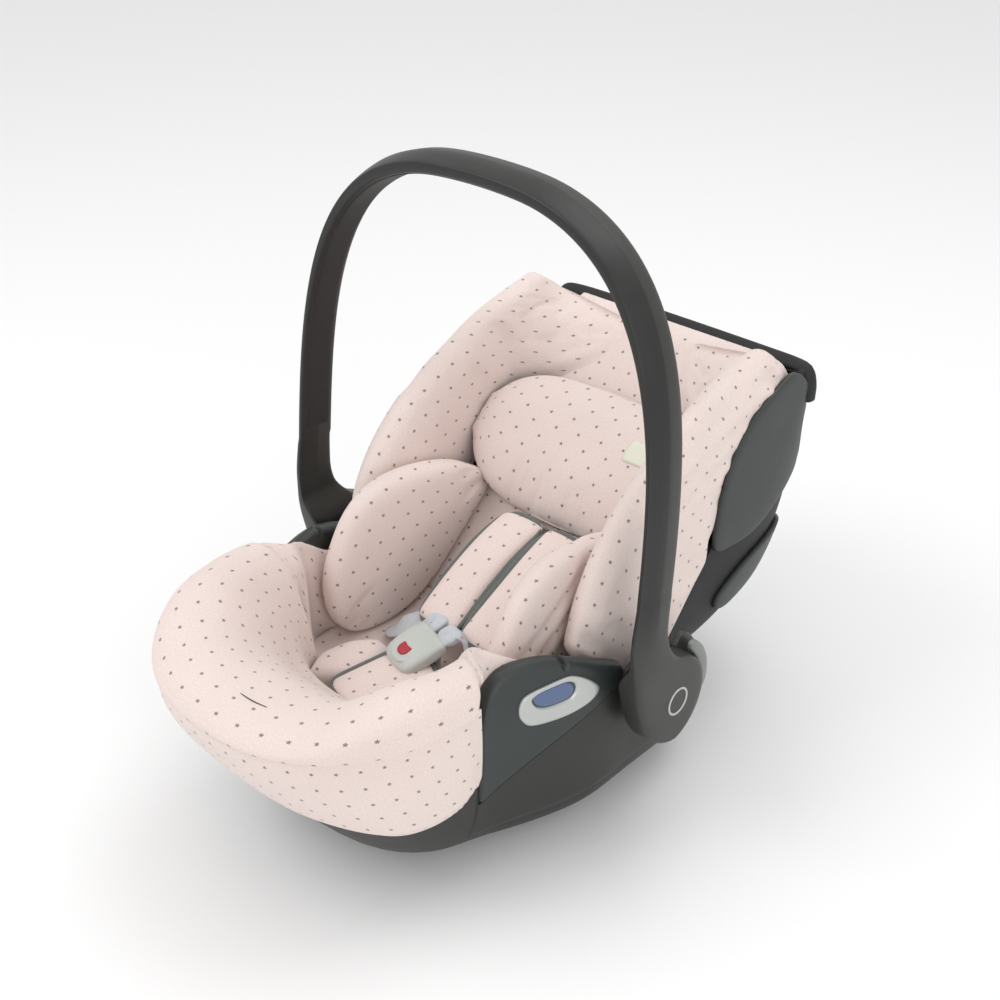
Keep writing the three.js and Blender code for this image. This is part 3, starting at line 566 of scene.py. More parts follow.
def plastic(name, colour, rough, worn, grain=0.12, metal=0.0, coat=0.0, dust=0.04, front=None):
    """Moulded plastic: two close tones, pebbled grain, paler rubbed edges and a little dust.
    `front` is a painted shade: a darker tone laid on the band's front face, where shade falls."""
    finish, tree, to = blank(name)
    fine = shared(tree, GRAIN, Size=900.0, Unevenness=0.9)
    rubbed = shared(tree, WEAR, Start=0.53)["Mask"]
    lying = shared(tree, DUST, Amount=dust)["Mask"]
    darker = tuple(c * 0.86 for c in colour)
    lighter = tuple(min(c * 1.16, 1) for c in colour)
    base = blend_of(tree, fine["Tone"], darker, lighter)
    if front:
        # painted shade: the handle band's front face above the hubs is darkened to the `front` tone
        spot = add(tree, "SeparateXYZ", {0: add(tree, "TexCoord").outputs["Object"]}).outputs
        lean = maths(tree, "MULTIPLY_ADD", spot[2], -math.tan(LEAN), spot[1])
        edge = FORE + (1.0 - RISE_FROM * math.tan(LEAN)) * MM
        front_shade_mask = add(tree, "MapRange", {"Value": lean, "From Min": edge + 0.0004,
                                       "From Max": edge - 0.0004}).outputs[0]
        band = add(tree, "MapRange", {"Value": spot[2], "From Min": 0.215,
                                      "From Max": 0.25}).outputs[0]
        base = blend_of(tree, maths(tree, "MULTIPLY", front_shade_mask, band), base, front)
    base = blend_of(tree, maths(tree, "MULTIPLY", rubbed, 0.5), base, worn)
    base = blend_of(tree, lying, base, (0.46, 0.44, 0.42))
    tree.links.new(base, to["Base Color"])
    shine = maths(tree, "MULTIPLY_ADD", maths(tree, "SUBTRACT", fine["Tone"], 0.5), 0.25, rough)
    tree.links.new(maths(tree, "ADD", shine, lying), to["Roughness"])
    tree.links.new(bumped(tree, fine["Height"], grain, 0.0004), to["Normal"])
    to["Metallic"].default_value = metal
    to["Coat Weight"].default_value = coat
    to["Coat Roughness"].default_value = 0.15
    return finish


STAR_PRINT = (0.16, 0.13, 0.13)


def cover_cloth(name, pale, deep, star=0.095):
    """Marled pale jersey printed with small stars."""
    finish, tree, to = blank(name)
    knit = shared(tree, JERSEY, Star=star)
    fleck = add(tree, "MapRange", {"Value": knit["Marl"], "From Min": 0.34, "From Max": 0.68})
    base = blend_of(tree, fleck.outputs[0], deep, pale)
    place = add(tree, "TexCoord").outputs["Object"]
    wash = add(tree, "TexNoise", {"Vector": place, "Scale": 9.0, "Detail": 3.0}).outputs[0]
    washed = add(tree, "MapRange", {"Value": wash, "From Min": 0.35, "From Max": 0.65,
                                    "To Max": 0.35}).outputs[0]
    base = blend_of(tree, washed, base, tuple(d * 0.97 for d in deep))
    if star:
        base = blend_of(tree, maths(tree, "MULTIPLY", knit["Stars"], 0.86), base, STAR_PRINT)
    tree.links.new(base, to["Base Color"])
    tree.links.new(bumped(tree, knit["Height"], 0.35, 0.0005), to["Normal"])
    rough = maths(tree, "MULTIPLY_ADD", knit["Marl"], 0.12, 0.84)
    tree.links.new(rough, to["Roughness"])
    to["Sheen Weight"].default_value = 0.25
    to["Sheen Roughness"].default_value = 0.5
    to["Specular IOR Level"].default_value = 0.2
    return finish


def strap_cloth(name, pale, deep):
    """Woven harness webbing."""
    finish, tree, to = blank(name)
    weave = shared(tree, WEBBING)
    tree.links.new(blend_of(tree, weave["Tone"], deep, pale), to["Base Color"])
    tree.links.new(bumped(tree, weave["Height"], 0.6, 0.0005), to["Normal"])
    tree.links.new(maths(tree, "MULTIPLY_ADD", weave["Tone"], 0.2, 0.5), to["Roughness"])
    to["Sheen Weight"].default_value = 0.3
    return finish


def bead_foam(name):
    """Moulded bead foam."""
    finish, tree, to = blank(name)
    place = add(tree, "TexCoord").outputs["Object"]
    beads = add(tree, "TexVoronoi", {"Vector": place, "Scale": 260.0})
    base = blend_of(tree, beads.outputs["Distance"], (0.72, 0.72, 0.7), (0.5, 0.5, 0.49))
    tree.links.new(base, to["Base Color"])
    tree.links.new(bumped(tree, beads.outputs["Distance"], 0.5, 0.001), to["Normal"])
    to["Roughness"].default_value = 0.85
    return finish


charcoal = plastic("charcoal_plastic", (0.026, 0.027, 0.024), 0.42, (0.075, 0.075, 0.07))
# the handle's front face carries a painted shade, the darker tone given as front
handle_plastic = plastic("handle_plastic", (0.026, 0.027, 0.024), 0.42, (0.075, 0.075, 0.07),
                         front=(0.011, 0.011, 0.0105))
hull_plastic = plastic("hull_plastic", (0.021, 0.021, 0.019), 0.48, (0.06, 0.06, 0.056))
slate = plastic("slate_plastic", (0.025, 0.032, 0.031), 0.44, (0.075, 0.085, 0.082))
slate_panel = plastic("slate_panel", (0.028, 0.034, 0.032), 0.5, (0.09, 0.1, 0.095))
black = plastic("black_plastic", (0.007, 0.007, 0.007), 0.62, (0.03, 0.03, 0.03), grain=0.3)
liner_black = plastic("liner_black", (0.010, 0.010, 0.0095), 0.6, (0.03, 0.03, 0.03), grain=0.25)
silver = plastic("silver_lacquer", (0.5, 0.52, 0.5), 0.32, (0.7, 0.7, 0.69), grain=0.04,
                 metal=0.55, coat=0.4, dust=0.03)
button_grey = plastic("button_grey", (0.21, 0.22, 0.21), 0.4, (0.4, 0.4, 0.4), grain=0.06)
inlay_blue = plastic("inlay_blue", (0.06, 0.11, 0.24), 0.16, (0.3, 0.4, 0.6), grain=0.02,
                     coat=0.8, dust=0.02)
buckle_grey = plastic("buckle_grey", (0.52, 0.55, 0.52), 0.4, (0.7, 0.72, 0.7), grain=0.05)
red = plastic("button_red", (0.42, 0.02, 0.035), 0.35, (0.6, 0.1, 0.1), grain=0.04)
steel = plastic("turned_steel", (0.5, 0.5, 0.5), 0.3, (0.7, 0.7, 0.7), grain=0.05, metal=1.0)
rubber = plastic("skid_rubber", (0.013, 0.013, 0.013), 0.85, (0.04, 0.04, 0.04), grain=0.5)
PINK, ROSE = (0.86, 0.745, 0.705), (0.755, 0.625, 0.58)
pink = cover_cloth("cover_jersey", PINK, ROSE)
plain_pink = cover_cloth("cover_plain", PINK, ROSE, star=0.0)
piping = cover_cloth("binding_grey", (0.165, 0.175, 0.165), (0.11, 0.118, 0.11), star=0.0)
tag_cloth = cover_cloth("tag_cream", (0.83, 0.83, 0.7), (0.76, 0.76, 0.62), star=0.0)
thread = cover_cloth("dark_thread", (0.12, 0.11, 0.11), (0.07, 0.065, 0.065), star=0.0)
webbing = strap_cloth("harness_webbing", (0.62, 0.66, 0.70), (0.42, 0.455, 0.50))
foam = bead_foam("bead_foam")


# ---- base shell ------------------------------------------------------------------------------
KEEL = profile([(-288, 193), (-272, 158), (-247, 116), (-220, 76), (-190, 42), (-148, 19),
                (-98, 9), (-40, 6), (40, 6), (140, 6), (170, 18), (185, 44)])
MOULDED_EDGE = steps_between([
    (-132, 194), (-128.5, 96), (-128, 92), (14, 164), (22, 170), (30, 171), (64, 171), (70, 168),
    (74, 161), (86, 140), (100, 122), (145, 56), (156, 47), (185, 36)])


OFF_BACK = on_back(0, 0, 1) - on_back(0, 0, 0)


def rim_half(y):
    """Half width of the shell's rim at a station."""
    if y < TOE_Y:
        share = min((TOE_Y - y) / (FOOT_REACH + TOE_Y), 1)
        return FOOT_HALF * (1 - share ** 2.3) ** (1 / 2.3)
    tail = clamp((y - (TAIL_REACH - 70)) / 70)
    return lerp(FOOT_HALF, SIDE_HALF, smooth(TOE_Y, TRIM_END, y)) * (1 - tail ** 2.6) ** (1 / 2.6)


def hull_shape(y):
    return lerp(2.3, 6, smooth(-280, 0, y))


def side_x(y, z):
    """Outer face of the hull at a station and height."""
    reach = clamp((RIM_Z - min(z, RIM_Z)) / (RIM_Z - KEEL(y)))
    e = hull_shape(y)
    return rim_half(y) * (1 - reach ** e) ** (1 / e)


hull_stations = ([lerp(-286.6, -134, 1 - math.cos(math.pi / 2 * i / 22)) for i in range(23)]
                 + [-131.5, -128.4] + [lerp(-127.6, 150, i / 50) for i in range(51)]
                 + [lerp(150, 184.2, math.sin(math.pi / 2 * i / 12)) for i in range(1, 13)])


def hull_skin(u, v):
    y = hull_stations[round(v * (len(hull_stations) - 1))]
    bend, keel, top = 2 / hull_shape(y), KEEL(y), min(MOULDED_EDGE(y), RIM_Z - 1)
    widest = math.acos(clamp((RIM_Z - max(top, keel + 0.5)) / (RIM_Z - keel)) ** (1 / bend))
    t = 2 * u - 1
    a = widest * power(t, 0.8)
    half = rim_half(y)
    z = RIM_Z - (RIM_Z - keel) * abs(math.cos(a)) ** bend
    fold = lerp(52, 61, smooth(-60, 40, y))
    tuck = 3.2 * (1 - smooth(fold - 5, fold + 1.5, z)) * smooth(-150, -90, y)
    return at((half - tuck) * power(math.sin(a), bend), y, z)


shell = patch("base_shell_moulded", 72, len(hull_stations) - 1, hull_skin, sheet=True)
walled(shell, 4)
softened(shell, 0.9)
settle(shell, "carrier", "shell_charcoal", hull_plastic, "base_shell")

for side, sign in (("left", 1), ("right", -1)):
    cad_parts["base_skid_" + side].data.materials[0] = rubber
    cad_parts["pivot_boss_" + side].data.materials[0] = black
    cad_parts["recline_pin_" + side].data.materials[0] = steel
for name, finish in (("seat_foam", foam), ("back_foam", foam), ("adjuster_body", black),
                     ("adjuster_button", silver), ("headrest_plate", black)):
    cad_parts[name].data.materials[0] = finish

# ---- side trims with their belt guides -------------------------------------------------------
TRIM_TOP = profile([(-128, 158), (-125, 171), (-119, 185), (-108, 202), (-93, 211), (-72, 212),
                    (-48, 207), (-25, 197), (2, 184), (14, 177)])


def seam_z(y):
    return lerp(92, 164, (y - TRIM_Y) / (TRIM_END - TRIM_Y))


def trim_x(y, z):
    return side_x(y, z) - 10 * smooth(155, 236, z)


def trim_form(u, v):
    """One trim: up its outer face, over the rolled top and down inside."""
    y = lerp(TRIM_Y + 0.6, TRIM_END - 0.6, v)
    nick = 6.5 * math.exp(-((y + 44) / 2.6) ** 4)
    top, foot = TRIM_TOP(y) - nick, seam_z(y) + 0.7
    ease = 4.5 * (1 - smooth(0, 5, y - TRIM_Y)) ** 1.5
    thick = 15 - 1.4 * ease
    outline = [(-ease, foot), (-ease, lerp(foot, top, 0.35)), (-ease, lerp(foot, top, 0.7)),
               (-ease, top - 7), (-ease - 1.2, top - 2.6), (-ease - 4.5, top - 0.2),
               (-thick / 2 - ease / 2, top), (-thick + 4, top - 0.6), (-thick + 1, top - 3),
               (-thick, top - 8), (-thick, lerp(foot, top, 0.4)), (-thick, foot)]
    spot = through([Vector((a, b, 0)) for a, b in outline], 45)[min(round(u * 44), 44)]
    return at(trim_x(y, spot.y) + spot.x, y, spot.y)


trim_rows = {}


def trim_row(u, v):
    if v not in trim_rows:
        trim_rows[v] = [trim_form(i / 44, v) for i in range(45)]
    row = trim_rows[v]
    i = round(u * 52)
    if i <= 44:
        return row[i]
    return row[44].lerp(row[0], (i - 44) / 8)


trim = patch("side_trim_moulded_left", 52, 118, trim_row)
softened(trim, 0.7, 2, 50)
both_sides(trim, "carrier", "trim_slate", slate, "side_trim")

GUIDE_LINE = through([(-90, 174, 0), (-86, 183, 0), (-76, 187, 0), (-46, 190, 0), (-34, 187, 0),
                      (-20, 176, 0), (-15, 167, 0), (-26, 158, 0), (-50, 153, 0), (-78, 155, 0),
                      (-88, 164, 0)], 96, True)
INLAY_LINE = through([(-77, 180, 0), (-71, 184, 0), (-50, 186, 0), (-41, 184, 0), (-37, 177, 0),
                      (-44, 169, 0), (-62, 168, 0), (-73, 172, 0)], 96, True)


def skin_place(y, z, proud):
    return at(trim_x(y, z) + proud, y, z)


def guide_form(u, v):
    """The silver surround: a rounded outer lip, a face that dips, and a wall down to the inlay."""
    i = round(u * 96) % 96
    a, b = GUIDE_LINE[i], INLAY_LINE[(i + 1) % 96]
    steps = [(0, -3), (0, 0.8), (0.04, 1.9), (0.12, 2.4), (0.45, 2.0), (0.8, 1.9), (0.93, 1.6),
             (1.0, 0.7), (1.02, -2.5)]
    t, proud = steps[round(v * (len(steps) - 1))]
    p = a.lerp(b, t)
    return skin_place(p.x, p.y, proud)


guide = patch("belt_guide_surround_left", 96, 8, guide_form)
rounded(guide)


def inlay_form(u, v):
    i = round(u * 96) % 96
    mid = Vector((-57, 177, 0))
    p = mid.lerp(INLAY_LINE[i], 1 - v)
    return skin_place(p.x, p.y, -1.2 if v < 0.01 else 0.35 + 0.3 * smooth(0, 0.7, v))


inlay = patch("belt_guide_plate_left", 96, 10, inlay_form)
both_sides(guide, "carrier", "silver_plastic", silver, "belt_guide")
both_sides(inlay, "carrier", "blue_inlay", inlay_blue, "belt_guide_inlay")

# ---- carry handle ----------------------------------------------------------------------------
ACROSS = Vector((0, math.cos(LEAN), -math.sin(LEAN)))
hub_front = profile([(119.3, 8.2), (128, 2.6), (140, -2.4), (164, -10), (196, -15.5), (230, -16.5),
                     (262, -12)])
hub_rear = profile([(166, 75.5), (172, 69.6), (176, 64.2), (180, 56), (184, 47.5), (190, 39.5),
                    (198, 32.5), (208, 27), (222, 24), (242, 24.5), (262, 26)])


def arch_place(i, count):
    t = math.pi * (0.5 - 0.5 * math.cos(math.pi * i / count))
    rise = RISE * abs(math.sin(t)) ** (2 / 3.86)
    return Vector((HALF * power(math.cos(t), 2 / 2.67), rise * math.sin(LEAN),
                   RISE_FROM + rise * math.cos(LEAN)))


arch = through([arch_place(i, 32) for i in range(33)], 161)
arch = [p for p in arch if p.z > 262]
leg_rings = []   # (centre, across, out, width, thick, squareness, crease)
for k in range(45):
    if k <= 14:
        z = HUB["z"] - HUB["radius"] * math.cos(math.radians(2 + 88 * k / 14))
    else:
        z = lerp(HUB["z"], 258, ((k - 14) / 30))
    chord = math.sqrt(max(HUB["radius"] ** 2 - (z - HUB["z"]) ** 2, 0))
    front = HUB["y"] - chord if z < 119.3 else hub_front(z)
    rear = HUB["y"] + chord if z < 166 else hub_rear(z)
    thick = lerp(26, 10.4, smooth(172, 206, z)) * (0.72 + 0.28 * math.sin(
        math.pi / 2 * clamp((z - 100) / 9)))
    leg_rings.append((Vector((210.7 - thick / 2, (front + rear) / 2, z)), Vector((0, 1, 0)),
                      Vector((1, 0, 0)), rear - front, thick, lerp(7, 4.6, smooth(180, 250, z)),
                      smooth(176, 236, z)))
band_rings = []
for i, p in enumerate(arch):
    q = arch[min(i + 1, len(arch) - 1)] - arch[max(i - 1, 0)]
    out = q.normalized().cross(ACROSS).normalized()
    if out.dot(Vector((p.x, 0, p.z - 300))) < 0:
        out = -out
    crown = smooth(RISE_FROM + RISE * 0.45, RISE_FROM + RISE * 0.97, p.z)
    band_rings.append((p, ACROSS, out, WIDTH, lerp(10.4, 18, crown),
                       lerp(4.6, 4.2, crown), 1.0))
if band_rings[0][0].x < 0:
    band_rings.reverse()
other_leg = [(Vector((-c.x, c.y, c.z)), a, Vector((-1, 0, 0)), w, t, e, f)
             for c, a, o, w, t, e, f in reversed(leg_rings)]
rings = leg_rings + band_rings + other_leg


def handle_form(u, v):
    i = round(v * (len(rings) + 1))
    inner = max(0, min(len(rings) - 1, i - 1))
    centre, across, out, width, thick, e, crease = rings[inner]
    if i != inner + 1:
        return at(*centre)
    a = 2 * math.pi * u
    p = width / 2 * power(math.cos(a), 2 / e)
    q = thick / 2 * power(math.sin(a), 2 / e)
    if q > 0:
        q -= crease * 0.34 * max(0.0, -p - 1.0) * (q / (thick / 2))
    return at(*(centre + across * p + out * q))


handle = patch("carry_handle", 60, len(rings) + 1, handle_form)
settle(handle, "handle", "shell_charcoal", handle_plastic, "handle_shell")


def liner_form(u, v):
    """The grip liner let into the inner face of the arch."""
    i = round(v * (len(band_rings) - 1))
    centre, across, out, width, thick, e, crease = band_rings[i]
    ends = smooth(0, 0.02, v) * smooth(1, 0.98, v)
    a = 2 * math.pi * u
    p = 14.5 * power(math.cos(a), 0.5)
    q = 1.3 * power(math.sin(a), 0.7) * max(ends, 0.05)
    return at(*(centre + across * p - out * (thick / 2 - 0.8 - q)))


liner = patch("grip_liner", 24, len(band_rings) - 1, liner_form)
settle(liner, "handle", "black_plastic", liner_black, "handle_liner")


def ring_of(name, radius, thick, x, proud):
    """A raised ring about the hub's axis."""
    def form(u, v):
        a, b = 2 * math.pi * v, 2 * math.pi * u
        r = radius + thick / 2 * power(math.cos(b), 0.7)
        return at(x + proud * power(math.sin(b), 0.7), HUB["y"] + r * math.cos(a),
                  HUB["z"] + r * math.sin(a))
    return patch(name, 12, 64, form)


emblem = ring_of("hub_ring_left", 12.4, 2.2, HUB["outer"] + 0.1, 0.9)
both_sides(emblem, "handle", "silver_plastic", silver, "hub_cap")


def button_form(u, v):
    """Crescent release button round the rear of the hub."""
    a = math.radians(lerp(-22, 54, v))
    taper = (1 - abs(2 * v - 1) ** 6) ** 0.5 if 0 < v < 1 else 0.02
    b = 2 * math.pi * u
    r = 48.6 + 6.1 * taper * power(math.cos(b), 0.6)
    x = 199.2 + 4.2 * power(math.sin(b), 0.6) * max(taper, 0.4)
    return at(x, HUB["y"] + r * math.cos(a), HUB["z"] + r * math.sin(a))


def flange_form(u, v):
    """Flange under the crescent button."""
    a = math.radians(lerp(-26, 60, v))
    taper = (1 - abs(2 * v - 1) ** 8) ** 0.5 if 0 < v < 1 else 0.02
    b = 2 * math.pi * u
    return at(187.6 + 2.9 * power(math.sin(b), 0.3),
              *[HUB[k] + (42 + 15 * taper * power(math.cos(b), 0.4)) * f(a)
                for k, f in (("y", math.cos), ("z", math.sin))])


press = patch("hub_button_left", 24, 40, button_form)
both_sides(press, "handle_button_left", "silver_plastic", button_grey, "handle_button")
flange = patch("hub_flange_left", 24, 40, flange_form)
both_sides(flange, "handle", "shell_charcoal", charcoal)

# ---- back shell, its panels and top bar ------------------------------------------------------
DEPTH = profile([(62, -54), (84, -88), (112, -124), (146, -154), (185, -174), (222, -174),
                 (258, -160), (292, -132), (320, -98), (346, -56), (362, -14)])


def back_half(s):
    return BACK_HALF * lerp(1, 0.985, smooth(BACK_LENGTH - 60, BACK_LENGTH, s))


def back_skin(u, v):
    s = lerp(58, BACK_LENGTH, v)
    shallow = smooth(57, 64, s)
    a = math.pi * 0.4985 * power(2 * u - 1, 0.85)
    n = min(DEPTH(max(s, 62)) * max(shallow, 0.03) * abs(math.cos(a)) ** (2 / 3.6), -1)
    return on_back(back_half(s) * power(math.sin(a), 2 / 3.6), max(s, 62), n)


back = patch("back_shell_moulded", 80, 76, back_skin, sheet=True)
walled(back, 4)
softened(back, 1.2)
settle(back, "backrest", "black_plastic", black, "back_shell")

PIVOT_S = 13 * math.cos(RECLINE) + 41 * math.sin(RECLINE)
PIVOT_N = 41 * math.cos(RECLINE) - 13 * math.sin(RECLINE)


def lug_form(u, v):
    """The ear that hangs the back shell on its pin."""
    t = [0, 0.0, 0.06, 0.94, 1.0, 1.0][round(v * 5)]
    x = lerp(148.2, 152.9, t)
    a = 2 * math.pi * u
    r = [0, 14, 15, 15, 14, 0][round(v * 5)]
    s, n = PIVOT_S + r * math.cos(a), PIVOT_N + r * math.sin(a)
    reach = smooth(0.1, 0.9, max(0, math.cos(a - math.radians(-52)))) if r else 0
    return on_back(x, s + 34 * reach, n - 46 * reach)


lug = patch("back_lug_left", 60, 5, lug_form)
both_sides(lug, "backrest", "black_plastic", black)


def wall_x(s, n):
    """Outer face of the back shell at a place on its side."""
    if n >= 0:
        return back_half(s)
    return back_half(s) * (1 - min(abs(n / DEPTH(s)), 0.999) ** 3.6) ** (1 / 3.6)


def side_panel(name, outline, middle, proud, stands_for):
    """A slate panel laid on the back shell's side, its outline in (s, n)."""
    edge = through([Vector((s, n, 0)) for s, n in outline], 120, True)
    mid = Vector((*middle, 0))
    rows = [(1.0, 0.4), (1.0, proud - 1.6), (0.985, proud - 0.5), (0.955, proud),
            (0.85, proud + 0.2),
            (0.7, proud + 0.3), (0.5, proud + 0.3), (0.3, proud + 0.3), (0.12, proud + 0.3),
            (0, proud + 0.3)]

    def form(u, v):
        share, lift = rows[round(v * (len(rows) - 1))]
        p = mid.lerp(edge[round(u * 120) % 120], share)
        here = wall_x(p.x, p.y)
        slope = (wall_x(p.x, p.y - 1) - wall_x(p.x, p.y + 1)) / 2
        away = Vector((1, slope)).normalized()
        return on_back(here + lift * away.x, p.x, p.y + lift * away.y)

    both_sides(patch(name + "_left", 120, len(rows) - 1, form), "backrest", "trim_slate",
               slate_panel, stands_for)


side_panel("side_cheek_upper", [
    (350, 16), (355, -10), (348, -44), (326, -72), (296, -80), (224, -62), (184, -26), (176, -8),
    (190, 8), (216, 28), (247, 43), (290, 46), (332, 30)], (280, -12), 5.2, "side_panel_upper")
side_panel("side_cheek_lower", [
    (258, -140), (250, -116), (235, -106), (188, -76), (148, -62), (137, -72), (150, -96),
    (196, -128), (238, -146)], (200, -104), 5.0, "side_panel_lower")

bar_line = through([on_back(x, s, n) for x, s, n in (
    (-151, 347, -32), (-150.5, 354, -24), (-146, 362, -16), (-134, 366, -13), (-90, 367.5, -12),
    (0, 368, -12), (90, 367.5, -12), (138, 366.5, -12), (148.5, 363, -15), (152, 355, -24),
    (152.5, 346, -33))], 97)
up_the_back = on_back(0, 1, 0) - on_back(0, 0, 0)
bar = sweep("top_bar", railed(bar_line, up_the_back), oval(10.5 * MM, 14.5 * MM, 0.72), around=16)
settle(bar, "backrest", "black_plastic", black, "rim_trim")

# ---- foot cover: skirt and padded roll -------------------------------------------------------
def bow_y(z):
    """Where the hull's bow reaches a height."""
    low, high = -287.9, -98.0
    for _ in range(24):
        mid = (low + high) / 2
        low, high = (mid, high) if KEEL(mid) > z else (low, mid)
    return high


SKIRT_HEM = profile([(-290, 110), (-237, 108), (-211, 97), (-186, 97), (-149, 104), (-137, 112),
                     (-128, 118)])


def hull_slice(t, z):
    """Round the hull at one height, from t = -1 on the right to 1 on the left."""
    front = bow_y(z)
    share = (1 - math.cos(math.pi / 2 * abs(t))) ** 0.86
    y = lerp(front + 0.05, TRIM_Y - 0.8, share)
    return at(power(t, 1e-9) * side_x(y, z), y, z)


def skirt_base(u, v):
    t = 2 * u - 1
    hem = SKIRT_HEM(hull_slice(t, 110).y / MM - FORE / MM)
    return hull_slice(t, lerp(hem, 199.0, v))


def skirt_form(u, v):
    spot = skirt_base(u, v)
    out = facing_of(skirt_base, clamp(u, 0.004, 0.996), clamp(v, 0.01, 0.99),
                    Vector((spot.x, spot.y + 0.15, -0.05)))
    stand = lerp(0.8, 6.0, smooth(0, 0.16, v)) + 0.9 * math.sin(math.pi * v)
    edge = smooth(0.0, 0.05, min(u, 1 - u))
    stand *= lerp(0.55, 1, edge)
    near_end = 1 - smooth(0.03, 0.16, min(u, 1 - u))
    pucker = math.sin(u * 330) * 0.7 * (1 - smooth(0, 0.22, v)) * near_end
    drape = noise.noise(Vector((spot.x * 14, spot.y * 14, spot.z * 9))) * 1.1
    return spot + out * (stand + pucker + drape * math.sin(math.pi * clamp(v))) * MM


skirt = patch("foot_skirt", 150, 34, skirt_form, origin=(0.5, 1.0), sheet=True)
walled(skirt, 1.4)
rounded(skirt)
settle(skirt, "carrier", "cover_fabric", pink, "cover_skirt")


def roll_section(w):
    """One section of the roll that runs round the toe and back along both sides: its outline
    from the outer seam over the crest to the inner crease, as (x, y, z)."""
    w, side = abs(w), math.copysign(1, w)
    bow = 0.66
    if w <= bow:
        turn = math.radians(90) * w / bow
        b, back_y = 0.0, TOE_Y
    else:
        turn = math.radians(90)
        back_y = lerp(TOE_Y, -18, (w - bow) / (1 - bow))
        b = smooth(TOE_Y + 2, TRIM_Y + 3.5, back_y)
    k = abs(math.cos(turn)) if w < bow else 0.0
    outer = Vector((FOOT_HALF * math.sin(turn) ** (2 / 2.3), back_y - 151 * k ** (2 / 2.3), 0))
    inner = Vector((78 * math.sin(turn) ** 0.9, back_y + 24 - 33 * k ** 0.9, 0))
    inner.y = lerp(inner.y, back_y, smooth(-137, -90, back_y))
    high = smooth(TOE_Y + 3, -96, back_y) if w > bow else 0.0
    upper = outer.copy()
    if b > 0:
        fine = trim_x(back_y, 196) - 16.6
        outer.x = lerp(FOOT_HALF, fine, b)
        upper.x = lerp(FOOT_HALF, fine, high)
        inner.x = lerp(78, min(118.5, fine - 7), smooth(-128, -78, back_y))
    crest = lerp(216, 236, smooth(0.2, 0.9, math.sin(turn) ** 2))
    if w > bow:
        crest = lerp(236, lerp(229, 181, smooth(-112, -20, back_y)), smooth(-137, -100, back_y))
    puff = 1.5 * (1 - high)
    deep = (inner - outer).length
    tall = (inner - upper).length
    toe = [(8, 192), (0, 194), (-COVER + 0.5, 197.5), (-COVER - 3.0, 205),
           (-COVER - 1.0, crest - 11), (5, crest - 1.5),
           (tall * 0.25, crest + puff), (tall * 0.45, crest - 6),
           (tall * 0.68, crest - 29), (deep * 0.87, crest - 60), (deep - 1, 141), (deep - 1, 112),
           (deep * 0.75, 112), (46, 160)]
    flank = [(2, 150), (0, 160), (0, 170), (0, crest - 24), (1, crest - 10),
             (tall * 0.18 + 2, crest - 2), (tall * 0.42, crest), (tall * 0.6, crest - 3),
             (tall * 0.8, crest - 15), (deep * 0.97, crest - 34), (deep, 130), (deep, 96),
             (deep * 0.75, 96), (deep * 0.4, 130)]
    out = []
    for k, ((d0, z0), (d1, z1)) in enumerate(zip(toe, flank)):
        raised = 4 <= k <= 10
        part, edge = (high, upper) if raised else (b, outer)
        d, z = lerp(d0, d1, part), lerp(z0, z1, part)
        p = edge + (inner - edge).normalized() * d
        out.append(Vector((side * p.x, p.y, z)))
    return out


roll_rows = {}


def roll_form(u, v):
    if v not in roll_rows:
        w = 2 * v - 1
        roll_rows[v] = through(roll_section(w), 72, True)
    return at(*roll_rows[v][round(u * 72) % 72])


roll = patch("foot_roll", 72, 220, roll_form, origin=(0.12, 0.5))


def roll_folds(co):
    """Soft hollows in the roll's cloth and short gathers along its inner crease."""
    x, y, z = co.x / MM, (co.y - FORE) / MM, co.z / MM
    soft = 1.6 * noise.noise(Vector((x / 46, y / 46, z / 30)))
    inner = smooth(214, 168, z) * (1 - smooth(-70, -40, y))
    angle = math.atan2(x, -(y + 120))
    soft += 0.8 * inner * math.sin(angle * 34 + 2 * noise.noise(Vector((x / 20, y / 20, 0))))
    return soft * MM * smooth(194, 203, z)


swell(roll, 3.0, pressure=2.0, slack=0.01, frames=12)
rumple(roll, roll_folds)
rounded(roll)
settle(roll, "carrier", "cover_fabric", pink, "cover_foot_roll", "seat_bolster_left",
       "seat_bolster_right")

# short sewn slit over the harness adjuster
slit_line = []
for i in range(13):
    t = i / 12
    spot, out = touch(roll, at(lerp(10, 38, t), -260 - 1.2 * math.sin(math.pi * t) + 3 * t, 260),
                      Vector((0, 0, -1)))
    slit_line.append((spot + out * 0.2 * MM, out))
slit = sweep("adjuster_slit", railed([p for p, _ in slit_line], lambda i: slit_line[i][1]),
             lambda a, t: (0.0006 * math.sin(math.pi * clamp(t, 0.06, 0.94)) * math.cos(a),
                           0.0006 * math.sin(a)), around=8)
settle(slit, "carrier", "cover_fabric", thread)

# ---- cover of the backrest -------------------------------------------------------------------
WING_CREST = profile([(6, 78), (36, 97), (71, 116), (110, 127), (150, 129), (191, 125), (236, 112),
                      (275, 98), (311, 81), (340, 66), (354, 58)])


def wing_section(s):
    crest = WING_CREST(s)
    lap = 1 - smooth(160, 182, s)
    outer = lerp(151.4, 156.0, lap * smooth(40, 64, s))
    hem = lerp(1.0, -9.0, lap * smooth(40, 64, s))
    foot = lerp(117.5, 38, smooth(222, 312, s))
    low = 8.4
    return [(outer, hem), (outer + 1.0, lerp(hem, crest, 0.32)), (outer - 0.5, crest - 24),
            (outer - 7, crest - 6), (136, crest + 0.5), (125, crest - 5), (118.5, crest - 19),
            (lerp(117.5, foot, 0.12), lerp(crest - 19, low, 0.42)),
            (lerp(117.5, foot, 0.42), lerp(crest - 19, low, 0.76)),
            (lerp(117.5, foot, 0.78), lerp(crest - 19, low, 0.95)), (foot, low),
            (min(foot + 4, 117), 6.6), (119, 5), (126, 1.2), (146, 1.2),
            (lerp(148, 153.7, lap), 1.0), (lerp(149, 153.7, lap), hem)]


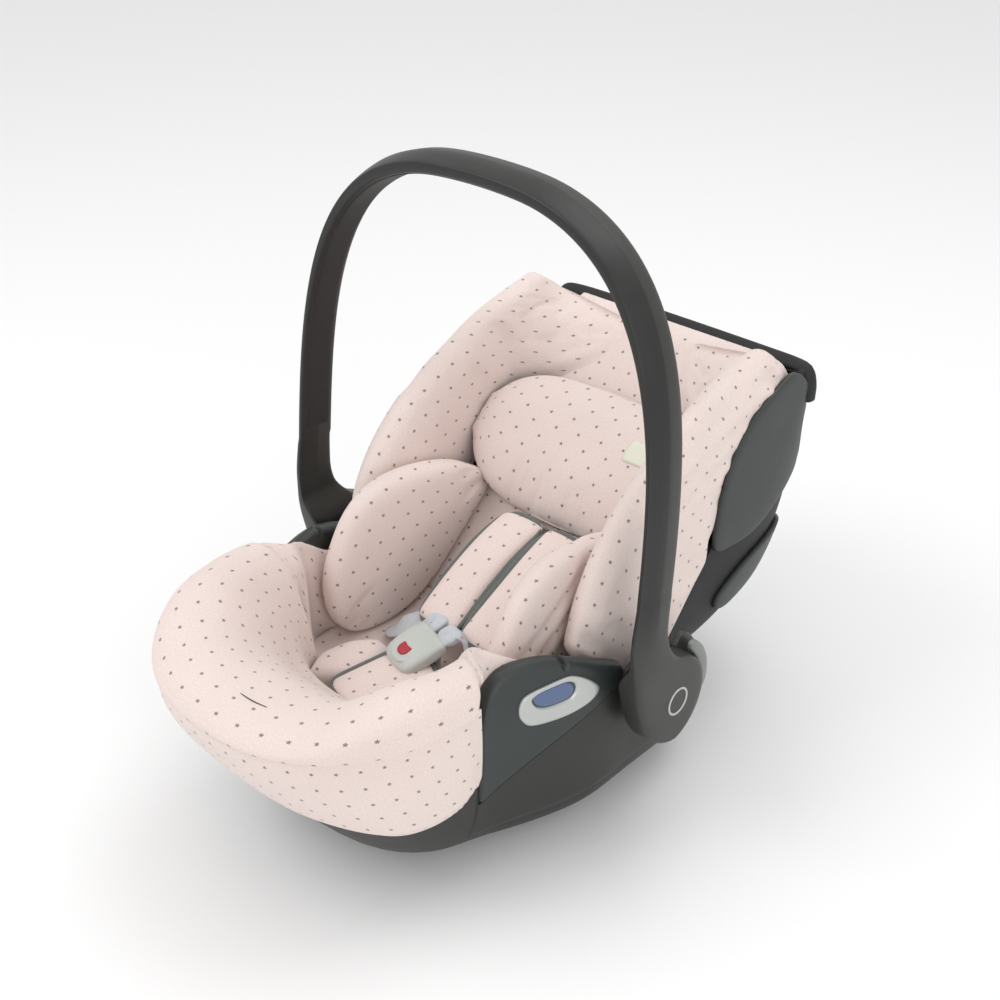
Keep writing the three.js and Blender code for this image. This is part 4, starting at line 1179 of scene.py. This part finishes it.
wing_rows = {}


def wing_form(u, v):
    if v not in wing_rows:
        s = lerp(22, 356, v)
        row = through([Vector((a, b, 0)) for a, b in wing_section(s)], 88, True)
        close = math.sqrt(max(1 - clamp((s - 341) / 15.5) ** 2, 0.0))
        close *= math.sqrt(max(1 - clamp((34 - s) / 12.5) ** 2, 0.0))
        if close < 1:
            keep_at = Vector((130, 26, 0)) if s > 200 else Vector((134, 30, 0))
            row = [keep_at.lerp(p, close) for p in row]
        wing_rows[v] = (s, row)
    s, row = wing_rows[v]
    p = row[round(u * 88) % 88]
    return on_back(p.x, s, p.y)


wing = patch("cover_wing_left", 88, 96, wing_form, origin=(0.4, 0.5), turn=4)


def back_frame(co):
    """Back to backrest measures (x, s, n) from a point in metres."""
    y, z = (co.y - FORE) / MM - BACK_Y, co.z / MM - BACK_Z
    c, k = math.cos(RECLINE), math.sin(RECLINE)
    return co.x / MM, y * c + z * k, z * c - y * k


def wing_folds(co):
    """Long slack folds down the wing's outer side, gathers at its hem, and soft hollows."""
    x, s, n = back_frame(co)
    crest = WING_CREST(s)
    side = abs(x)
    outside = smooth(139, 148, side)
    fold = 0.0
    for offset, slope, width, deep in ((22, 0.30, 7, 2.2), (44, 0.40, 6, 2.0), (66, 0.34, 8, 1.5)):
        line = crest - offset - slope * (s - 200) * 0.35
        fold += deep * math.exp(-((n - line) / width) ** 2) * smooth(150, 200, s) \
            * smooth(346, 318, s)
    wave = 1.2 * math.sin(s / 3.1 + 2 * noise.noise(Vector((s / 17, 0, 1)))) \
        * math.exp(-((n - 30) / 18) ** 2) * smooth(190, 220, s)
    inside = (1 - outside) * smooth(8, 30, n)
    hollow = 1.4 * noise.noise(Vector((s / 52, n / 40, x / 50)))
    pull = 1.3 * math.exp(-((n - 20 - (s - 240) * 0.34) / 6) ** 2) * smooth(236, 262, s) \
        * inside
    return (outside * (fold + wave - 1.2) + inside * hollow + pull) * MM


swell(wing, 3.5, pressure=2.5, slack=0.015, frames=12)
rumple(wing, wing_folds)
rounded(wing)
both_sides(wing, "backrest", "cover_fabric", pink, "back_wing")


def pad_middle(u, v):
    s = lerp(16, 366, v)
    n = lerp(-8, -4, smooth(330, 366, s))
    return on_back(lerp(-116, 116, u), s, n), OFF_BACK


def pad_depth(u, v):
    s = lerp(16, 366, v)
    edge = min(u, 1 - u) * 232
    fall = min(1, math.sqrt(clamp(edge / 2.5))) * math.sqrt(clamp(v * 350 / 7))
    top = math.sqrt(clamp((1 - v) * 350 / 9))
    crown = 15.4 + 1.2 * noise.noise(Vector((u * 5, v * 6, 3)))
    return fall * top * lerp(crown, 9.5, smooth(340, 362, s)), \
        fall * top * lerp(16, 2.5, smooth(318, 346, s))


def pad_slot(i, j, across, along):
    u = i / across
    u = 2 * u if u <= 0.5 else 2 - 2 * u
    return abs(lerp(-116, 116, u)) < 21 and 184 < lerp(16, 366, j / along) < 268


back_pad = case("cover_back_panel", 44, 64, pad_middle, pad_depth, origin=(0.25, 0.4),
                hole=pad_slot)
rounded(back_pad)
settle(back_pad, "backrest", "cover_fabric", pink, "back_pad")


# ---- infant insert ---------------------------------------------------------------------------
def pillow_span(a):
    return 70 * max((1 - abs(a) ** 4.4) ** 0.52, 0.3)


def pillow_middle(u, v):
    a, b = 2 * u - 1, 2 * v - 1
    s = 200 + b * pillow_span(a) * (1 - 0.06 * a * a)
    n = 15.5 + 30 * abs(a) ** 3.2
    lean = Vector((-0.9 * a * abs(a) ** 1.6, 0, 1))
    return on_back(113 * a, s, n), (Vector((lean.x * MM, 0, 0)) + OFF_BACK).normalized()


def pillow_depth(u, v):
    a, b = 2 * u - 1, 2 * v - 1
    full = stuffed(u, v, 3.4, 2.6)
    gather = 0.0
    for centre, lean, wide, deep in ((-0.42, 0.05, 0.028, 2.6), (-0.30, 0.06, 0.022, 2.2),
                                     (-0.16, 0.09, 0.034, 3.0), (-0.02, 0.05, 0.025, 1.6),
                                     (0.2, -0.05, 0.03, 2.2), (0.36, -0.08, 0.028, 2.4)):
        gather -= deep * math.exp(-((a - centre - lean * (b + 1)) / wide) ** 2) \
            * smooth(0.35, -0.85, b)
    return (24 * full + gather * min(full * 2, 1)) * MM, 2.4 * full * MM


pillow = case("insert_head_pillow", 60, 40, pillow_middle, pillow_depth, turn=42)
swell(pillow, 3.0, pressure=3.0, slack=0.03, frames=14)
rounded(pillow)
settle(pillow, "headrest", "cover_fabric", pink, "head_pillow")

seam = []
for i in range(90):
    t = 2 * math.pi * i / 90
    a, b = power(math.cos(t), 0.8), power(math.sin(t), 0.8)
    seam.append(pillow_middle((0.995 * a + 1) / 2, (b + 1) / 2)[0])
edge_seam = sweep("insert_pillow_seam", railed(seam, OFF_BACK, True),
                  oval(0.0022, 0.0022), closed=True, around=6)
settle(edge_seam, "headrest", "cover_fabric", plain_pink)

LOBE_LOW = profile([(-52, 76), (-42, 57), (-20, 34), (8, 17), (43, 9), (138, 9)])
LOBE_HIGH = profile([(-52, 84), (-42, 108), (-20, 132), (8, 146), (43, 153), (75, 143), (100, 121),
                     (122, 92), (138, 62), (146, 34)])


def lobe_middle(u, v):
    swing = math.cos(math.pi * lerp(0.1, 0.95, v)) / math.cos(math.pi * 0.075)
    s = lerp(-52, 145, 0.5 - 0.5 * swing)
    low, high = LOBE_LOW(s), LOBE_HIGH(s)
    n = lerp(low, high, u)
    x = 97 + 5 * smooth(40, 150, n) - 4 * smooth(60, 0, n)
    return on_back(x, s, n), Vector((-1, 0, 0))


def lobe_depth(u, v):
    full = stuffed(u, v, 4.2, 3.2)
    hollow = 1.4 * noise.noise(Vector((u * 3.2, v * 4.1, 7)))
    return (17.5 * full + hollow * full) * MM, 15.5 * full * MM


lobe = case("insert_body_lobe_left", 36, 52, lobe_middle, lobe_depth, turn=-12)
swell(lobe, 4.0, pressure=3.0, slack=0.02, frames=14)
rounded(lobe)
far_lobe = twin(lobe, "insert_body_lobe_right")


def lobe_creases(co):
    """The near lobe is crumpled by the slack harness: long folds down its length."""
    x, s, n = back_frame(co)
    fold = 0.0
    for place, slope, wide, deep in ((112, -0.16, 6, 3.0), (92, -0.2, 5, 2.6), (70, -0.1, 7, 2.0)):
        fold -= deep * math.exp(-((n - place - slope * (s - 40)) / wide) ** 2)
    return fold * MM * smooth(-40, 0, s) * smooth(132, 96, s)


rumple(lobe, lobe_creases)
both_sides(lobe, "backrest", "cover_fabric", pink, "body_lobe", other=far_lobe)


def seat_middle(u, v):
    y = lerp(-149, 12, v)
    half = min(73, side_x(y, 62) - 10)
    return at(lerp(-half, half, u), y, 92 - 4 * smooth(-120, -149, y)), Vector((0, 0, 1))


def seat_depth(u, v):
    full = stuffed(u, v, 6, 8)
    return (15.5 + 1.0 * noise.noise(Vector((u * 4, v * 5, 1)))) * full * MM, 29 * full * MM


seat = case("cover_seat_pad", 30, 34, seat_middle, seat_depth)
rounded(seat)
settle(seat, "carrier", "cover_fabric", pink, "seat_pad")


def lining_form(u, v):
    """The seat cover between the roll's walls, carried up over the crease onto the back."""
    line = v * 48
    y, z = lining_path[min(int(line), 47)].lerp(lining_path[min(int(line) + 1, 48)], line % 1).xy
    half = lerp(78, 118.5, smooth(-128, -78, y)) - 1.2
    if y > 8:
        half = lerp(half, 113, smooth(8, 24, y))
    t = 2 * u - 1
    lift = 3.0 * abs(t) ** 5 * smooth(-120, -90, y) * (1 - smooth(0, 20, y))
    slack = 1.3 * noise.noise(Vector((t * 2.4, y / 30, 5)))
    return at(half * t, y, z + lift + slack)


lining_path = through([Vector(p) for p in ((-150, 108.6, 0), (-120, 108.8, 0), (-70, 109.4, 0),
                                           (-20, 109.2, 0), (8, 109.0, 0), (26, 112.5, 0),
                                           (36, 117.5, 0), (44, 124, 0))], 49)
lining = patch("cover_seat_lining", 40, 48, lining_form, origin=(0.5, 0.5), turn=10, sheet=True)
walled(lining, 1.4)
lining.data.materials.append(pink)
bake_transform(lining)


def thigh_middle(u, v):
    a, b = 2 * u - 1, lerp(-1, 1, v)
    y = lerp(-134, -58, v)
    half = 21 * max(0.12, smooth(-1.12, -0.1, b)) * (1 - 0.5 * smooth(0.3, 1, b))
    place = at(55 + a * half - 12 * b, y, lerp(117, 125, v) + 3 * a)
    return place, Vector((0.12, -0.1, 1)).normalized()


def thigh_depth(u, v):
    full = stuffed(u, v, 2.6, 3)
    return 12 * full * MM, 11 * full * MM


thigh = case("insert_thigh_lobe_left", 24, 34, thigh_middle, thigh_depth, turn=20)
swell(thigh, 2.5, pressure=3.0, slack=0.02, frames=12)
rounded(thigh)
both_sides(thigh, "carrier", "cover_fabric", pink, "thigh_lobe")

# ---- harness ---------------------------------------------------------------------------------
YAW = math.radians(-19)


def turned(x, y, about):
    """A place on the seat turned with the slack crotch pad and buckle."""
    c, k = math.cos(YAW), math.sin(YAW)
    return about[0] + x * c - y * k, about[1] + x * k + y * c


def crotch_middle(u, v):
    a = 2 * u - 1
    along = lerp(-44, 40, v)
    half = 30 * (1 - 0.22 * smooth(0.1, 0, v)) * (1 - 0.18 * smooth(0.9, 1, v))
    x, y = turned(a * half, along, (-4, -96))
    rise = lerp(124, 138, v) - 2.2 * a * a
    up = Vector((0.0, -0.2, 1)).normalized()
    return at(x, y, rise), up


def crotch_depth(u, v):
    full = stuffed(u, v, 4, 6)
    return 6.5 * full * MM, 5.0 * full * MM


def bound(name, middle, width, thick, samples=96, inset=0.985):
    """The grey binding sewn round a pad's edge."""
    points, lifts = [], []
    for i in range(samples):
        t = 2 * math.pi * (i + 0.5) / samples
        a, b = power(math.cos(t), 0.42) * inset, power(math.sin(t), 0.42) * inset
        place, up = middle((a + 1) / 2, (b + 1) / 2)
        points.append(place)
        lifts.append(up)
    points = through(points, samples, True)
    line = railed(points, lambda i: lifts[i], True)
    return sweep(name, line, lambda a, t: (width * MM / 2 * power(math.cos(a), 0.7),
                                           thick * MM / 2 * power(math.sin(a), 0.8)),
                 closed=True, around=10)


crotch = case("crotch_cushion", 24, 34, crotch_middle, crotch_depth, turn=12)
swell(crotch, 2.0, pressure=3.0, slack=0.02, frames=10)
rounded(crotch)
settle(crotch, "carrier", "cover_fabric", pink, "crotch_pad")
crotch_edge = bound("crotch_binding", crotch_middle, 9.0, 7.2, inset=1.02)
settle(crotch_edge, "carrier", "cover_fabric", piping)


def shoulder_path(x, bow):
    line = through([Vector((s, n, 0)) for s, n in ((120, 38), (80, 57), (38, 70), (-8, 80))], 41)
    return [(x + bow * math.sin(math.pi * i / 40), p.x, p.y) for i, p in enumerate(line)]


PADS = {"left": (shoulder_path(46, 2), -7.0), "right": (shoulder_path(-8, -1), 2.0)}


def shoulder_middle(side):
    path, roll_by = PADS[side]

    def middle(u, v):
        f = v * 40
        i = min(int(f), 39)
        p, q = Vector(path[i]), Vector(path[i + 1])
        x, s, n = p.lerp(q, f - i)
        ahead = (q - p).normalized()
        up = Vector((0, -ahead.z, ahead.y)) * -1
        if up.z < 0:
            up = -up
        tip = math.radians(roll_by)
        across = Vector((math.cos(tip), 0, 0)) + up * math.sin(tip)
        lift = up * math.cos(tip) - Vector((math.sin(tip), 0, 0))
        a = 2 * u - 1
        half = 24.5 * (1 - 0.1 * smooth(0.06, 0, v)) * (1 - 0.14 * smooth(0.94, 1, v))
        spot = Vector((x, s, n)) + across * (a * half) - lift * (2.2 * a * a)
        facing = on_back(*lift) - on_back(0, 0, 0)
        return on_back(*spot), facing.normalized()
    return middle


def shoulder_depth(u, v):
    full = stuffed(u, v, 3.6, 9)
    return 8.0 * full * MM, 4.2 * full * MM


for side in ("right", "left"):
    middle = shoulder_middle(side)
    cushion = case("shoulder_cushion_" + side, 22, 52, middle, shoulder_depth,
                   turn=8 if side == "left" else -6)
    swell(cushion, 2.2, pressure=3.0, slack=0.02, frames=10)
    rounded(cushion)
    settle(cushion, "backrest", "cover_fabric", pink, "shoulder_pad_" + side)
    edge = bound("shoulder_binding_" + side, middle, 8.0, 7.0, 120, 1.02)
    settle(edge, "backrest", "cover_fabric", piping)

    # webbing under the pad, from its slot in the back to below the pad's end
    path, _ = PADS[side]
    under = [on_back(path[0][0], 126, 12), on_back(path[0][0], 122, 30)]
    under += [on_back(x, s - 2, n - 8.2) for x, s, n in path[3::6]]
    x, s, n = path[-1]
    under.append(on_back(x - (3 if side == "left" else -3), s - 9, n - 8))
    line = through(under, 60)
    strap = sweep("shoulder_webbing_" + side, railed(line, lambda i: Vector((0.02, -0.7, 0.7))),
                  ribbon(0.024, 0.0022),
                  around=12)
    settle(strap, "backrest", "webbing", webbing, "shoulder_strap_" + side)

BUCKLE_TURN = Matrix.Rotation(YAW, 4, "Z") @ Matrix.Rotation(math.radians(22), 4, "X")


def on_buckle(x, y, z):
    """A place in the buckle's own frame: y towards the harness, z off its face."""
    p = BUCKLE_TURN @ Vector((x, y, z))
    return at(p.x, p.y - 62, p.z + 148)


BUCKLE_RINGS = [(-25, 5, 4, 0), (-24, 30, 9, -0.5), (-21, 40, 12.5, 0), (-15, 45, 15.5, 0.3),
                (-6, 47, 17, 0.5), (6, 48, 17, 0.5), (13, 47, 16.4, 0.3), (15, 44.5, 14.4, 0),
                (16.2, 44, 13.4, 0), (18, 46, 15, 0), (21, 44, 13.5, -0.4), (22.4, 36, 9, -0.8),
                (22.8, 6, 3, -1)]


def buckle_form(u, v):
    y, width, thick, mid = BUCKLE_RINGS[round(v * (len(BUCKLE_RINGS) - 1))]
    a = 2 * math.pi * u
    return on_buckle(width / 2 * power(math.cos(a), 0.55), y,
                     mid + thick / 2 * power(math.sin(a), 0.6))


buckle = patch("harness_buckle", 40, len(BUCKLE_RINGS) - 1, buckle_form)
rounded(buckle)
settle(buckle, "carrier", "buckle_grey", buckle_grey, "buckle_body")


def dome_form(width, long, y0, base, rise, bend=0.0):
    """A low rounded key standing on the buckle's face."""
    rows = [(1.0, -2.2), (1.0, 0.2), (0.93, 0.8), (0.75, 1.0), (0.4, 1.08), (0.0, 1.1)]

    def form(u, v):
        share, lift = rows[round(v * (len(rows) - 1))]
        a = 2 * math.pi * u
        x = width / 2 * share * power(math.cos(a), 0.6)
        y = y0 + long / 2 * share * power(math.sin(a), 0.6) + bend * (x / width * 2) ** 2
        return on_buckle(x, y, base + rise * lift)
    return form


key = patch("buckle_key", 32, 5, dome_form(15, 11, -10, 8.4, 1.6, 3.0))
rounded(key)
settle(key, "buckle_button", "red_button", red, "buckle_button")
frame_ring = patch("buckle_face_ring", 32, 5, dome_form(30, 25, -9, 7.0, 1.1, 3.0))
rounded(frame_ring)
settle(frame_ring, "carrier", "buckle_grey", buckle_grey)

TONGUE_RINGS = [(8, 15, 3), (22, 16, 3.4), (24, 20, 6.5), (27, 22, 8.2), (34, 22.5, 8),
                (38, 21, 6.5), (40, 14, 3.5)]   # (along the buckle, width, thick)
for side, sign in (("left", 1), ("right", -1)):
    def tongue_form(u, v, sign=sign):
        y, width, thick = TONGUE_RINGS[round(v * (len(TONGUE_RINGS) - 1))]
        a = 2 * math.pi * u
        spread = 12.2 + max(0, y - 20) * 0.12
        return on_buckle(sign * spread + width / 2 * power(math.cos(a), 0.5), y,
                         1.2 + thick / 2 * power(math.sin(a), 0.5) + sign * 0.8)

    tongue = patch("buckle_tongue_plate_" + side, 28, len(TONGUE_RINGS) - 1, tongue_form)
    rounded(tongue)
    settle(tongue, "carrier", "webbing", webbing, "buckle_tongue_" + side)

# lap webbing from each hip to its tongue, the near one twisted over on its way
for side, sign, twist in (("left", 1, 150), ("right", -1, 24)):
    tip = on_buckle(sign * 15, 36, 2)
    line = through([at(sign * 74, -12, 114), at(sign * 68, -22, 120), at(sign * 55, -31, 129),
                    tip.lerp(at(sign * 55, -31, 129), 0.35) + Vector((0, 0.004, 0.003)), tip], 49)
    cradle = railed(line, lambda i: Vector((0.1 * sign, -0.35, 0.9)))
    turned_line = []
    for i, (p, a, b) in enumerate(cradle):
        t = math.radians(twist) * smooth(0.15, 0.85, i / 48) - math.radians(12)
        turned_line.append((p, a * math.cos(t) + b * math.sin(t),
                            b * math.cos(t) - a * math.sin(t)))
    lap = sweep("lap_webbing_" + side, turned_line, ribbon(0.0236, 0.0020), around=12)
    settle(lap, "carrier", "webbing", webbing, "lap_strap_" + side)

riser = through([at(0, -50, 112), at(-1, -43, 122), at(-3, -42, 132), on_buckle(0, -2, -7)], 24)
crotch_web = sweep("crotch_webbing", railed(riser, Vector((0, -1, 0.1))),
                   ribbon(0.0244, 0.0022), around=12)
settle(crotch_web, "carrier", "webbing", webbing, "crotch_strap")

# blank sewn label on the pillow
lift_out = OFF_BACK.normalized()


def label_form(u, v):
    a, b = 2 * u - 1, 2 * v - 1
    x = 70 + 15 * a * (1 - 0.05 * b * b)
    s = 218 + 11.5 * b * (1 - 0.05 * a * a)
    spot, out = touch(pillow, on_back(x, s, 120), -lift_out)
    edge = min(1, 6 * (1 - max(abs(a), abs(b))))
    return spot + lift_out * (0.0004 + 0.0007 * edge)


label = patch("insert_label", 14, 12, label_form, sheet=True)
walled(label, 0.8)
settle(label, "headrest", "cover_fabric", tag_cloth)

# ---- floor, light and camera -----------------------------------------------------------------
mesh = bmesh.new()
bmesh.ops.create_grid(mesh, x_segments=1, y_segments=1, size=6)
floor = keep(mesh, "studio_floor")
paper, tree, to = blank("pale_paper")
to["Base Color"].default_value = (0.93, 0.93, 0.93, 1)
to["Roughness"].default_value = 0.9
floor.data.materials.append(paper)

world = bpy.data.worlds.new("studio")
world.use_nodes = True
world.node_tree.nodes["Background"].inputs["Color"].default_value = (1, 1, 1, 1)
world.node_tree.nodes["Background"].inputs["Strength"].default_value = 0.8
scene.world = world
scene.view_settings.view_transform = "Standard"


def soft_light(name, place, aim, size, power_watts):
    light = bpy.data.lights.new(name, "AREA")
    light.shape, light.size, light.energy = "DISK", size, power_watts
    lamp = bpy.data.objects.new(name, light)
    lamp.location = place
    lamp.rotation_euler = (Vector(aim) - Vector(place)).to_track_quat("-Z", "Y").to_euler()
    scene.collection.objects.link(lamp)


soft_light("key", (-1.0, -1.5, 2.2), (0, 0, 0.2), 1.4, 17)
soft_light("fill", (2.0, -0.9, 1.0), (0, 0, 0.25), 1.6, 9)
soft_light("top", (0.3, 0.8, 2.4), (0, 0, 0.2), 1.6, 12)

aim = at(0, 48.5, 253.5)
azimuth, tilt, reach = math.radians(42.5), math.radians(30.85), 1.314
camera = bpy.data.cameras.new("camera")
camera.sensor_width, camera.lens = 36, 36 * 1.46
view = bpy.data.objects.new("camera", camera)
view.location = aim + reach * Vector((math.sin(azimuth) * math.cos(tilt),
                                      -math.cos(azimuth) * math.cos(tilt), math.sin(tilt)))
view.rotation_euler = (aim - view.location).to_track_quat("-Z", "Y").to_euler()
camera.clip_start, camera.clip_end = 0.02, 30
scene.collection.objects.link(view)
scene.camera = view
